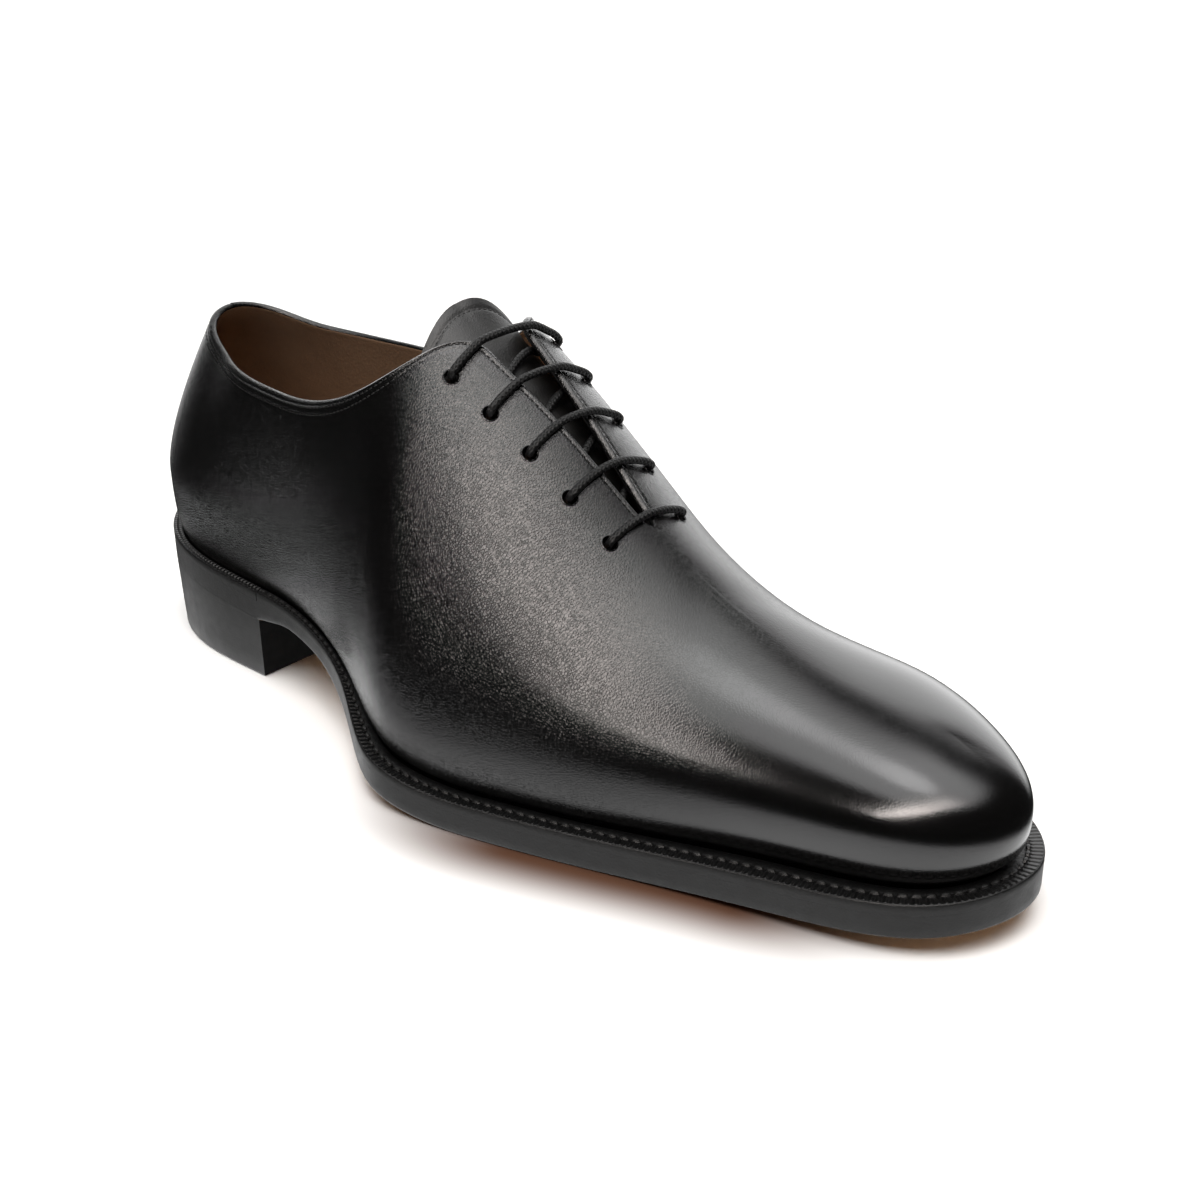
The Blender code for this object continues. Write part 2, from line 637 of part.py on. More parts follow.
def lace_route():
    """Points the lace passes: bars over the facings, slanting runs beneath, one long run beside."""
    radius = LACE_DIAMETER / 2
    over = radius + FIT_GAP
    under = UPPER_WALL + radius + 2 * FIT_GAP

    def lifted(x, across, lift):
        point, normal = crown_at(x, across)
        return point + normal * lift

    route = []
    last = EYELET_ROWS - 1
    low_x, low_across = eyelet_place(last, 1)
    top_x, top_across = eyelet_place(0, 1)
    for share in LACE_RUN_SHARES:
        x = top_x + (low_x - top_x) * share
        across = top_across + (low_across - top_across) * share
        route.append(lifted(x, across + LACE_RUN_ASIDE, -under))
    route.append(lifted(low_x, low_across + LACE_LEAN, -under))
    for row in range(last, -1, -1):
        x, across = eyelet_place(row, 1)
        edge = float(throat_half(np.array(x)))
        route.append(lifted(x, across, -UPPER_WALL / 2))
        route.append(lifted(x, across - LACE_LEAN, over))
        route.append(lifted(x, (across + edge) / 2, over))
        route.append(lifted(x, edge, over))
        route.append(lifted(x, -edge, over))
        route.append(lifted(x, -(across + edge) / 2, over))
        route.append(lifted(x, -across + LACE_LEAN, over))
        route.append(lifted(x, -across, -UPPER_WALL / 2))
        if row:
            next_x, next_across = eyelet_place(row - 1, 1)
            for share in LACE_SLANT_SHARES:
                slant = -across + (next_across + across) * share
                route.append(lifted(x + (next_x - x) * share, slant, -under))
        else:
            route.append(lifted(x, -across - LACE_LEAN, -under))
            route.append(lifted(x, -across - LACE_TAIL, -under))
    return np.array(route)


def smooth_route(points, spacing):
    """Points read from a smooth curve through the route."""
    padded = np.vstack([2 * points[0] - points[1], points, 2 * points[-1] - points[-2]])
    out = []
    for i in range(1, len(padded) - 2):
        before, start, end, after = padded[i - 1:i + 3]
        length = np.linalg.norm(end - start)
        pieces = max(1, int(round(length / spacing)))
        leave = (end - before) / max(np.linalg.norm(end - before), 1e-9) * length
        arrive = (after - start) / max(np.linalg.norm(after - start), 1e-9) * length
        for k in range(pieces):
            t = k / pieces
            hermite = (2 * t**3 - 3 * t**2 + 1, t**3 - 2 * t**2 + t, -2 * t**3 + 3 * t**2, t**3 - t**2)
            out.append(hermite[0] * start + hermite[1] * leave + hermite[2] * end + hermite[3] * arrive)
    out.append(padded[-2])
    return np.array(out)


def make_lace(finish_material):
    """Round waxed lace, one cord from end to end."""
    points = metres(smooth_route(lace_route(), 2.4 * LACE_DIAMETER))
    curve = bpy.data.curves.new("lace", "CURVE")
    curve.dimensions = "3D"
    curve.bevel_depth = LACE_DIAMETER / 2 * MILLIMETRE
    curve.bevel_resolution = 2
    curve.use_fill_caps = True
    spline = curve.splines.new("POLY")
    spline.points.add(len(points) - 1)
    for place, point in zip(spline.points, points):
        place.co = (*point, 1.0)
    spline.use_smooth = True
    curve.materials.append(finish_material)
    lace = bpy.data.objects.new("lace", curve)
    bpy.context.scene.collection.objects.link(lace)
    return lace


for old in list(bpy.data.objects):
    bpy.data.objects.remove(old, do_unlink=True)

make_outsole(material("sole_leather", (0.030, 0.029, 0.030), 0.45))
make_heel(material("heel_leather", (0.028, 0.027, 0.028), 0.42))
make_welt(material("welt_leather", (0.022, 0.021, 0.022), 0.48))
make_insole(material("insole_leather", (0.30, 0.19, 0.11), 0.60))
make_upper(material("calf_leather", (0.012, 0.011, 0.011), 0.22, coat=0.5))
make_tongue(material("tongue_leather", (0.014, 0.013, 0.013), 0.35))
make_lace(material("waxed_cotton", (0.010, 0.010, 0.011), 0.55))
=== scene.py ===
import math

import bmesh
import bpy
import numpy as np
from mathutils import Matrix, Vector


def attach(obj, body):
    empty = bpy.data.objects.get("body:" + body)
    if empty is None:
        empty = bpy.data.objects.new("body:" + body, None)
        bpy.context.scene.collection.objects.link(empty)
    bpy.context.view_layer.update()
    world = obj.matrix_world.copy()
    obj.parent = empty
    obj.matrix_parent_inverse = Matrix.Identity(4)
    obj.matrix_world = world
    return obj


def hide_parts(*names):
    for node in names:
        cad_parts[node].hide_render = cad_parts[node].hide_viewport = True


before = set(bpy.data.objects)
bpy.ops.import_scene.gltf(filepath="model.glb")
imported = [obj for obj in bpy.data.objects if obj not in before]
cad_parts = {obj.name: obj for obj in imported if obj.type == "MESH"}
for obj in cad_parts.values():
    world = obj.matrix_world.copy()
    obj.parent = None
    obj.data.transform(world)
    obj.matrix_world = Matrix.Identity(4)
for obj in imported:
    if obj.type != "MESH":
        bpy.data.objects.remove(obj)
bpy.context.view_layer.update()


# Insole: the board that the shoe is built up on, with cork and a tan leather sock pasted over it.
# Its plan is the foot of the last. The last's twelve sections, in % of the sole's length, the
# ball's width and the instep's height, shape every piece that follows; sizes are millimetres.
SOLE_LENGTH, BALL_WIDTH, INSTEP_HEIGHT = 303.0, 106.0, 114.0
HEEL_BACK_HEIGHT, HEEL_BREAST_HEIGHT, HEEL_LENGTH = 24.5, 19.5, 70.0
TREAD_MIDDLE, TREAD_HALF, TOE_SPRING = 189.0, 12.0, 6.7
OUTSOLE_THICKNESS, WELT_THICKNESS = 6.0, 3.0
UPPER_WALL, FIT_GAP = 2.2, 0.3
MILLIMETRE = 0.001
LAST_SECTIONS = np.array((
    (0, 0, 3.0, 0, 0, 3.0, 24, 0, 130, 1.7, 19, .20, .12, 1.7, 19, .20, .12),
    (3.3, 15.9, 3.0, 3.3, 15.9, 3.0, 24.4, 0, 131, 2.0, 18, .21, .15, 2.0, 18, .21, .15),
    (11, 27.2, 3.0, 11, 27.2, 3.0, 25.8, 0, 135, 0.1, 17, .14, .23, 0.1, 17, .14, .23),
    (24, 30, 3.2, 24, 29, 3.2, 28, 0, 137, 1.2, 17, .41, .58, 1.2, 17, .41, .58),
    (38.3, 38.7, 3.4, 38, 27.5, 3.5, 39, -2.5, 119, 3.0, 18, .44, .56, 4.0, 24, .53, .63),
    (47, 53.3, 6.8, 49, 34, 5.0, 48.5, -3.2, 100, 3.6, 17, .46, .56, 4.0, 22, .60, .67),
    (52.8, 54.9, 7.0, 57.5, 42.5, 6.5, 57, -2.5, 81.5, 3.9, 16, .48, .55, 3.0, 18, .42, .56),
    (62.3, 49.2, 7.0, 65, 46, 7.0, 64.5, -2.0, 63, 3.8, 15, .52, .56, 3.0, 16, .33, .44),
    (68.8, 44.1, 7.0, 73, 43, 7.0, 72, -1.2, 50, 3.5, 15, .56, .57, 3.0, 15, .35, .48),
    (83.3, 33.5, 8.6, 84, 39.5, 7.5, 85, 1.2, 40, 3.4, 14, .59, .59, 3.0, 14, .61, .62),
    (97, 20.3, 8.0, 95, 24, 8.0, 90.7, 2.0, 37, 3.7, 12, .62, .61, 3.2, 13, .61, .60),
    (100, -3, 8.0, 100, 3, 8.0, 92, 2.2, 36, 4.5, 10, .65, .63, 4.5, 10, .65, .63),
))


def last_loop():
    """Stations round the sole and the last's values there: lateral side out, medial side back."""
    along, across, up = SOLE_LENGTH / 100, BALL_WIDTH / 100, INSTEP_HEIGHT / 100
    table = LAST_SECTIONS
    ridge = table[:, 6:9] * (along, across, up)
    sides = []
    for column, turn, form in ((0, -1, table[:, 9:13]), (3, 1, table[:, 13:17])):
        plan = table[:, column:column + 2] * (along, turn * across)
        sides.append(np.hstack([plan, table[:, column + 2:column + 3], ridge, form]))
    step = sum(np.linalg.norm(np.diff(side[:, :2], axis=0), axis=1) for side in sides) / 2
    station = np.concatenate([[0.0], np.cumsum(step)])
    knots = np.concatenate([station, 2 * station[-1] - station[-2::-1]])
    return knots, np.vstack([sides[0], sides[1][-2:0:-1]])


KNOTS, LOOP = last_loop()
HALF_LOOP = KNOTS[-1] / 2


def loop_bend():
    """Second derivatives of the smooth closed curve through the last's values."""
    span = np.diff(KNOTS)
    count = len(LOOP)
    slope = (np.roll(LOOP, -1, axis=0) - LOOP) / span[:, None]
    system = np.zeros((count, count))
    for i in range(count):
        system[i, i - 1] += span[i - 1]
        system[i, i] += 2 * (span[i - 1] + span[i])
        system[i, (i + 1) % count] += span[i]
    return np.linalg.solve(system, 6 * (slope - np.roll(slope, 1, axis=0)))


BEND = loop_bend()


def last_at(s):
    """Values of the last at stations s: plan x, y, margin, ridge x, y, z, and the side's form."""
    s = np.mod(np.asarray(s, float), KNOTS[-1])
    i = np.clip(np.searchsorted(KNOTS, s, side="right") - 1, 0, len(LOOP) - 1)
    j = (i + 1) % len(LOOP)
    width = (KNOTS[i + 1] - KNOTS[i])[..., None]
    a = (KNOTS[i + 1] - s)[..., None] / width
    b = 1 - a
    curve = a * LOOP[i] + b * LOOP[j]
    return curve + ((a**3 - a) * BEND[i] + (b**3 - b) * BEND[j]) * width**2 / 6


def outward(s):
    """Plan normal of the sole's edge."""
    tangent = last_at(s + 0.5)[..., :2] - last_at(s - 0.5)[..., :2]
    tangent /= np.linalg.norm(tangent, axis=-1, keepdims=True)
    return np.stack([tangent[..., 1], -tangent[..., 0]], axis=-1)


def smooth_step(x, start, end):
    """From 0 at start to 1 at end, level at both."""
    t = np.clip((x - start) / (end - start), 0, 1)
    return t * t * (3 - 2 * t)


def sole_under(x):
    """Height of the outsole's under face: heel seat, arch, flat tread, toe spring."""
    x = np.asarray(x, float)
    seat = HEEL_BACK_HEIGHT - (HEEL_BACK_HEIGHT - HEEL_BREAST_HEIGHT) * np.clip(x / HEEL_LENGTH, 0, 1)
    back, front = TREAD_MIDDLE - TREAD_HALF, TREAD_MIDDLE + TREAD_HALF
    arch = HEEL_BREAST_HEIGHT * smooth_step(x, back, HEEL_LENGTH)
    spring = TOE_SPRING * np.clip((x - front) / (SOLE_LENGTH - front), 0, None) ** 2
    return np.where(x < HEEL_LENGTH, seat, arch + spring)


def outsole_top(x):
    return sole_under(x) + OUTSOLE_THICKNESS


EDGE_S = np.linspace(0, 2 * HALF_LOOP, 4001)[:-1]
EDGE = np.hstack([last_at(EDGE_S)[:, :3], outward(EDGE_S)])
EDGE = np.roll(EDGE, -int(np.argmin(EDGE[:, 0])), axis=0)
TOE_INDEX = int(np.argmax(EDGE[:, 0]))
LATERAL_EDGE = EDGE[:TOE_INDEX + 1]
MEDIAL_EDGE = np.vstack([EDGE[TOE_INDEX:], EDGE[:1]])[::-1]
PLAN_CENTRE = (EDGE[:, :2].max(axis=0) + EDGE[:, :2].min(axis=0)) / 2
HEEL_X, TOE_X = EDGE[0, 0], EDGE[TOE_INDEX, 0]


def edge_rows(x, edge):
    """Rows of x, y, margin and plan normal on one side of the sole."""
    return np.column_stack([np.interp(x, edge[:, 0], edge[:, i]) for i in range(5)])


def edge_line(x, edge, inset, height, share=0.0):
    """Line along one side of the sole, inset from its edge by that much and a share of the margin."""
    rows = edge_rows(x, edge)
    plan = rows[:, :2] - rows[:, 3:5] * (inset + share * rows[:, 2:3])
    return np.column_stack([plan, height(plan[:, 0])])


def rounded_stations(start, end, count):
    """Stations along x, closer together at the two ends where the outline turns."""
    return start + (end - start) * (1 - np.cos(np.linspace(0, math.pi, count))) / 2


def lofted(points):
    """Skin of quads through rows of points, in metres over the plan's centre, UV in millimetres."""
    points = np.asarray(points, float)
    rows, columns = points.shape[:2]
    mesh = bmesh.new()
    uv = mesh.loops.layers.uv.new("surface")
    bmesh.ops.create_grid(mesh, x_segments=columns - 1, y_segments=rows - 1, size=1)
    placed = (points - (*PLAN_CENTRE, 0.0)) * MILLIMETRE
    along = np.linalg.norm(np.diff(points, axis=1), axis=2).mean(axis=0)
    across = np.linalg.norm(np.diff(points, axis=0), axis=2).mean(axis=1)
    along = np.concatenate([[0.0], np.cumsum(along)])
    across = np.concatenate([[0.0], np.cumsum(across)])
    for face in mesh.faces:
        for corner in face.loops:
            row, column = divmod(corner.vert.index, columns)
            corner[uv].uv = (along[column], across[row])
    for vert, point in zip(mesh.verts, placed.reshape(-1, 3)):
        vert.co = point
    return mesh


def closed_up(mesh, merge=1e-6, fill=True):
    """Merge the seams of a skin, close its open ends and point its faces outwards."""
    bmesh.ops.remove_doubles(mesh, verts=mesh.verts[:], dist=merge)
    bmesh.ops.dissolve_degenerate(mesh, edges=mesh.edges[:], dist=1e-7)
    if fill:
        bmesh.ops.holes_fill(mesh, edges=mesh.edges[:], sides=0)
    bmesh.ops.recalc_face_normals(mesh, faces=mesh.faces[:])
    if mesh.calc_volume(signed=True) < 0:
        bmesh.ops.reverse_faces(mesh, faces=mesh.faces[:])
    return mesh


def shoe_piece(name, mesh, finishes, stands_for=(), sharp_degrees=40.0):
    """Named piece of the shoe with its finishes, riding on the one body."""
    data = bpy.data.meshes.new(name)
    mesh.to_mesh(data)
    mesh.free()
    data.shade_smooth()
    data.set_sharp_from_angle(angle=math.radians(sharp_degrees))
    for finish in finishes:
        data.materials.append(finish)
    piece = bpy.data.objects.new(name, data)
    bpy.context.scene.collection.objects.link(piece)
    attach(piece, "root")
    for node in stands_for:
        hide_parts(node)
    return piece


def slab_skin(lateral, medial, across):
    """Rows round a slab: up its lateral side, over its top, down its medial side, back beneath."""
    fill = np.linspace(0, 1, across)[1:-1, None, None]
    over = lateral[-1] + (medial[-1] - lateral[-1]) * fill
    beneath = medial[0] + (lateral[0] - medial[0]) * fill
    return np.concatenate([lateral, over, medial[::-1], beneath, lateral[:1]])


ROUNDED_INSET = 2.0


def sole_slab(x, profile, across, height, square=None):
    """Closed slab along the sole: profile rows of inset, share of margin and height above the base.

    height gives z from x, inset and profile height; square, from 0 to 1 along x, takes back the
    rounding of the lower edge.
    """
    keep = np.ones((len(x), 1)) if square is None else 1 - square[:, None]
    sides = []
    for edge in (LATERAL_EDGE, MEDIAL_EDGE):
        lines = []
        for inset, share, h in profile:
            kept = inset * (keep if inset < ROUNDED_INSET else 1)
            lines.append(edge_line(x, edge, kept, lambda at, i=inset, h=h: height(at, i, h), share))
        sides.append(np.array(lines))
    return slab_skin(*sides, across)


class Wire:
    """One socket of a finish. Arithmetic on it adds Math nodes; node() adds any other node."""

    def __init__(self, tree, socket=None):
        self.tree, self.socket = tree, socket

    def node(self, kind, settings=(), sockets=(), output=0):
        made = self.tree.nodes.new("ShaderNode" + kind)
        for name, value in dict(settings).items():
            setattr(made, name, value)
        for key, value in dict(sockets).items():
            if isinstance(value, Wire):
                self.tree.links.new(value.socket, made.inputs[key])
            else:
                made.inputs[key].default_value = value
        return Wire(self.tree, made.outputs[output])

    def axis(self, name):
        """One coordinate of a place or heading."""
        return self.node("SeparateXYZ", (), {0: self}, output=name)

    def maths(self, operation, first, second=0.0):
        return self.node("Math", {"operation": operation}, {0: first, 1: second})

    def most(self, other):
        return self.maths("MAXIMUM", self, other)

    def __add__(self, other):
        return self.maths("ADD", self, other)

    __radd__ = __add__

    def __sub__(self, other):
        return self.maths("SUBTRACT", self, other)

    def __rsub__(self, other):
        return self.maths("SUBTRACT", other, self)

    def __mul__(self, other):
        return self.maths("MULTIPLY", self, other)

    __rmul__ = __mul__

    def __truediv__(self, other):
        return self.maths("DIVIDE", self, other)

    def __rtruediv__(self, other):
        return self.maths("DIVIDE", other, self)

    def band(self, low, high, bottom=0.0, top=1.0):
        """Smooth step from bottom at low to top at high."""
        settings = {"interpolation_type": "SMOOTHSTEP"}
        limits = {"Value": self, "From Min": low, "From Max": high, "To Min": bottom, "To Max": top}
        return self.node("MapRange", settings, limits)

    def tint(self, share, dark, light):
        """Colour between two, by a share of 0 to 1."""
        settings = {"data_type": "RGBA"}
        return self.node("Mix", settings, {0: share, 6: (*dark, 1), 7: (*light, 1)}, output=2)

    def noise(self, scale, detail=3.0, roughness=0.5):
        settings = {"Vector": self, "Scale": scale, "Detail": detail, "Roughness": roughness}
        return self.node("TexNoise", (), settings)

    def cells(self, scale, feature="F1"):
        return self.node("TexVoronoi", {"feature": feature}, {"Vector": self, "Scale": scale})


def finish(name, constants, colour=None, roughness=None, coat=None, relief=None, depth=0.1, glow=None):
    """Procedural finish. constants fill shader sockets; the rest are functions of the place on it."""
    made = bpy.data.materials.new(name)
    made.use_nodes = True
    tree = made.node_tree
    shader = tree.nodes["Principled BSDF"]
    for key, value in constants.items():
        shader.inputs[key].default_value = value
    place = Wire(tree).node("TexCoord", (), (), output="Object")
    fed = {"Base Color": colour, "Roughness": roughness, "Coat Weight": coat, "Emission Color": glow}
    for key, given in fed.items():
        if given:
            tree.links.new(given(place).socket, shader.inputs[key])
    if relief:
        sockets = {"Strength": 1.0, "Distance": depth * MILLIMETRE, "Height": relief(place)}
        tree.links.new(place.node("Bump", (), sockets).socket, shader.inputs["Normal"])
    return made


def mottled(scale, detail, dark, light, roughness=0.5):
    """Colour that drifts between two over the surface."""
    return lambda at: at.tint(at.noise(scale, detail, roughness), dark, light)


def uneven(scale, detail, amount, least):
    """Roughness that drifts over the surface."""
    return lambda at: at.noise(scale, detail) * amount + least


SOCK_EDGE = ((0.6, 1, 0.0), (0.0, 1, 0.3), (0.0, 1, 2.2), (0.25, 1, 2.7), (0.9, 1, 3.0), (3, 1, 3.05))
SOCK_INSET = UPPER_WALL + 3 * FIT_GAP
sock_leather = finish(
    "sock_leather", {"Specular IOR Level": 0.35},
    colour=mottled(60, 5, (0.17, 0.095, 0.050), (0.30, 0.180, 0.100), 0.6),
    roughness=uneven(220, 3, 0.25, 0.5),
    relief=lambda at: at.cells(900) + at.noise(2500, 2) * 0.6, depth=0.06,
)
sock = sole_slab(
    rounded_stations(HEEL_X, TOE_X, 90),
    [(inset + SOCK_INSET, share, h) for inset, share, h in SOCK_EDGE], 16,
    lambda x, inset, h: outsole_top(x) + FIT_GAP + h,
)
shoe_piece("insole_sock", closed_up(lofted(sock)), [sock_leather], ["insole"])


# Upper: one piece of black box calf drawn over the last, with a tan lining sewn in, open at the
# collar and the throat. Its edges are folded over and stitched, and five pairs of eyelets are
# punched through the facings; it is lasted under the insole and sewn to the welt.
COLLAR_BACK, COLLAR_BACK_X, COLLAR_BACK_POWER = 104.0, 26.0, 3.0
COLLAR_LOW_X, COLLAR_LOW_LATERAL, COLLAR_LOW_MEDIAL = 84.0, 91.0, 93.0
COLLAR_FRONT, COLLAR_FRONT_X, COLLAR_FRONT_POWER = 136.0, 163.0, 2.2
THROAT_START_X, THROAT_END_X, THROAT_HALF_TOP, THROAT_HALF_END = 110.0, 195.0, 8.0, 0.8
CORNER_BLEND = 11.0
EYELET_ROWS, EYELET_FIRST_X, EYELET_LAST_X = 5, 147.5, 193.0
EYELET_FIRST_ASIDE, EYELET_LAST_ASIDE, EYELET_RADIUS = 19.5, 13.9, 2.0
BELLY_LEVEL, FLARE_OUT, FLARE_UP, BELLY_DROP = 0.22, 0.75, 0.10, 0.55


def ridge_fall(s):
    """Fall of the crest line along the shoe; level behind the seat, steady at the toe tip."""
    s = np.mod(s, 2 * HALF_LOOP)
    s = np.clip(np.where(s > HALF_LOOP, 2 * HALF_LOOP - s, s), KNOTS[3], HALF_LOOP - 4.0)
    rise = last_at(s + 2.0)[..., 3:6] - last_at(s - 2.0)[..., 3:6]
    return rise[..., 2] / np.maximum(rise[..., 0], 0.2)


def face_at(s, v):
    """Points of the upper's outer face at stations s and levels v, from feather (0) to ridge (1)."""
    s, v = np.broadcast_arrays(np.asarray(s, float), np.asarray(v, float))
    values = last_at(s)
    plan = outward(s)
    normal = np.stack([plan[..., 0], plan[..., 1], np.zeros(s.shape)], axis=-1)
    margin, ridge = values[..., 2:3], values[..., 3:6]
    bulge, belly, rise, reach = (values[..., i:i + 1] for i in range(6, 10))
    up = np.array([0.0, 0.0, 1.0])
    foot = np.concatenate([values[..., :2], np.zeros(s.shape)[..., None]], axis=-1) - normal * margin
    foot[..., 2] = outsole_top(foot[..., 0]) + WELT_THICKNESS + FIT_GAP
    side = foot + bulge * normal + belly * up
    away = side[..., :2] - ridge[..., :2]
    distance = np.linalg.norm(away, axis=-1, keepdims=True)
    away = away / distance
    shoulder = side + rise * (ridge[..., 2:3] - side[..., 2:3]) * up
    slope = (ridge_fall(s) * away[..., 0])[..., None]
    crown = ridge + np.concatenate([away, slope], axis=-1) * (reach * distance)
    flare = foot + FLARE_OUT * bulge * normal + FLARE_UP * belly * up
    under = side - BELLY_DROP * belly * up

    def bend(t, corners):
        weights = ((1 - t) ** 3, 3 * (1 - t) ** 2 * t, 3 * (1 - t) * t * t, t**3)
        return sum(w[..., None] * c for w, c in zip(weights, corners))

    low = bend(np.clip(v / BELLY_LEVEL, 0, 1), (foot, flare, under, side))
    high = bend(np.clip((v - BELLY_LEVEL) / (1 - BELLY_LEVEL), 0, 1), (side, shoulder, crown, ridge))
    return np.where((v <= BELLY_LEVEL)[..., None], low, high)


def throat_half(x):
    """Half width of the gap between the facings; none behind the collar or ahead of the throat."""
    share = (THROAT_END_X - x) / (THROAT_END_X - EYELET_FIRST_X)
    half = THROAT_HALF_END + (THROAT_HALF_TOP - THROAT_HALF_END) * np.clip(share, 0, 1.3)
    return np.where((x > THROAT_START_X) & (x < THROAT_END_X), half, -50.0)


def inside_leather(points, s):
    """Positive on the upper, negative in the collar or the throat opening."""
    x, y, z = points[..., 0], points[..., 1], points[..., 2]
    low = np.where(s < HALF_LOOP, COLLAR_LOW_LATERAL, COLLAR_LOW_MEDIAL)
    back = np.clip((COLLAR_LOW_X - x) / (COLLAR_LOW_X - COLLAR_BACK_X), 0, None) ** COLLAR_BACK_POWER
    front = np.clip((x - COLLAR_LOW_X) / (COLLAR_FRONT_X - COLLAR_LOW_X), 0, None)
    collar = low + (COLLAR_BACK - low) * back + (COLLAR_FRONT - low) * front**COLLAR_FRONT_POWER
    below_collar = collar - z
    beside_throat = np.abs(y - last_at(s)[..., 4]) - throat_half(x)
    mix = np.clip(0.5 + 0.5 * (beside_throat - below_collar) / CORNER_BLEND, 0, 1)
    least = beside_throat * (1 - mix) + below_collar * mix
    return least - CORNER_BLEND * mix * (1 - mix)


def open_level(s):
    """Level at which each rib meets the collar or throat edge, or 1 where the vamp is closed."""
    v = np.linspace(BELLY_LEVEL, 1, 500)
    inside = inside_leather(face_at(s[:, None], v[None, :]), s[:, None])
    level = np.ones(len(s))
    for i, row in enumerate(inside):
        outside = np.nonzero(row < 0)[0]
        if len(outside):
            j = max(outside[0], 1)
            level[i] = v[j - 1] + row[j - 1] / (row[j - 1] - row[j]) * (v[j] - v[j - 1])
    return level


RIDGE_S = np.linspace(4, HALF_LOOP - 4, 600)
RIDGE_X, RIDGE_Y = last_at(RIDGE_S)[:, 3], last_at(RIDGE_S)[:, 4]


def crown_at(x, across):
    """Points and outward normals of the upper's outer face over plan x, across from the ridge."""
    x, across = np.broadcast_arrays(np.asarray(x, float), np.asarray(across, float))
    ridge_s = np.interp(x, RIDGE_X, RIDGE_S)
    goal = np.stack([x, np.interp(ridge_s, RIDGE_S, RIDGE_Y) + across], axis=-1)
    s = np.where(across < 0, ridge_s, 2 * HALF_LOOP - ridge_s)
    v = np.ones(x.shape)
    ds, dv = 0.5, 0.002
    for _ in range(12):
        here = face_at(s, v)
        by_s = (face_at(s + ds, v) - face_at(s - ds, v)) / (2 * ds)
        by_v = (here - face_at(s, v - dv)) / dv
        miss = goal - here[..., :2]
        area = by_s[..., 0] * by_v[..., 1] - by_s[..., 1] * by_v[..., 0]
        step_s = (miss[..., 0] * by_v[..., 1] - miss[..., 1] * by_v[..., 0]) / area
        step_v = (miss[..., 1] * by_s[..., 0] - miss[..., 0] * by_s[..., 1]) / area
        s = s + np.clip(step_s, -8, 8)
        v = np.clip(v + np.clip(step_v, -0.15, 0.15), 0.3, 1.0)
    normal = np.cross(by_s, by_v)
    normal /= np.linalg.norm(normal, axis=-1, keepdims=True)
    return here, normal * np.where(normal[..., 2:3] > 0, 1, -1)


def eyelet_place(row, side):
    """x and distance across from the ridge of one eyelet; side -1 lateral, 1 medial."""
    share = row / (EYELET_ROWS - 1)
    x = EYELET_FIRST_X + (EYELET_LAST_X - EYELET_FIRST_X) * share
    return x, side * (EYELET_FIRST_ASIDE + (EYELET_LAST_ASIDE - EYELET_FIRST_ASIDE) * share)


# Rows from the open edge inwards, on the face and in the lining, and the rolled edge between
FACE_ROWS = (6.4, 5.4, 4.6, 4.0, 3.5, 3.1, 2.8, 2.5, 2.25, 2.0, 1.75, 1.5, 1.3, 1.1)
LINING_ROWS = (1.1, 1.8, 3.0, 5.0, 8.0)
BODY_ROWS, LINING_BODY_ROWS, EDGE_TURNS = 44, 20, 7
BEAD_INSET, BEAD_LIFT, BEAD_WIDTH = 1.1, 0.12, 0.5
SEAM_DEPTH, SEAM_WIDTH, SEAM_INSET, SECOND_SEAM = 0.14, 0.28, 2.1, 3.9
SEAM_FADE, SECOND_SEAM_END, SECOND_SEAM_FADE, SECOND_STITCH_END = 4.0, 138.0, 14.0, 140.0


def upper_stations():
    """Stations up one side: closer at the heel's turn, the collar's front corner and the toe."""
    corner = float(np.interp(EYELET_FIRST_X, RIDGE_X, RIDGE_S))
    marks = (0, 30, corner - 30, corner + 18, HALF_LOOP - 34, HALF_LOOP)
    counts = (16, 34, 48, 74, 26)
    parts = [np.linspace(a, b, n, endpoint=False) for a, b, n in zip(marks, marks[1:], counts)]
    return np.concatenate([*parts, [HALF_LOOP]])


one_side = upper_stations()
upper_s = np.concatenate([one_side, 2 * HALF_LOOP - one_side[-2::-1]])
upper_top = open_level(upper_s)
fine_level = np.linspace(0, 1, 260)[:, None] * upper_top[None, :]
fine_face = face_at(upper_s[None, :], fine_level)
fine_length = np.linalg.norm(np.diff(fine_face, axis=0), axis=2)
fine_length = np.vstack([np.zeros(len(upper_s)), np.cumsum(fine_length, axis=0)])


def rows_from_edge(distances, body_rows):
    """Points and normals of the face in rows: body rows up from the feather, then set distances."""
    total = fine_length[-1]
    body = np.linspace(0, 1, body_rows, endpoint=False)[:, None] * (total - distances[0])[None, :]
    length = np.vstack([body, total[None, :] - np.array(distances)[:, None]])
    level = np.empty(length.shape)
    for i in range(len(upper_s)):
        level[:, i] = np.interp(length[:, i], fine_length[:, i], fine_level[:, i])
    points = face_at(upper_s[None, :], level)
    ahead = face_at(upper_s[None, :] + 0.4, level) - face_at(upper_s[None, :] - 0.4, level)
    above = face_at(upper_s[None, :], level) - face_at(upper_s[None, :], np.maximum(level - 0.004, 0))
    above[0] = face_at(upper_s, level[0] + 0.004) - points[0]
    normal = np.cross(ahead, above)
    normal /= np.linalg.norm(normal, axis=2, keepdims=True)
    above /= np.linalg.norm(above, axis=2, keepdims=True)
    return points, normal, above, total[None, :] - length


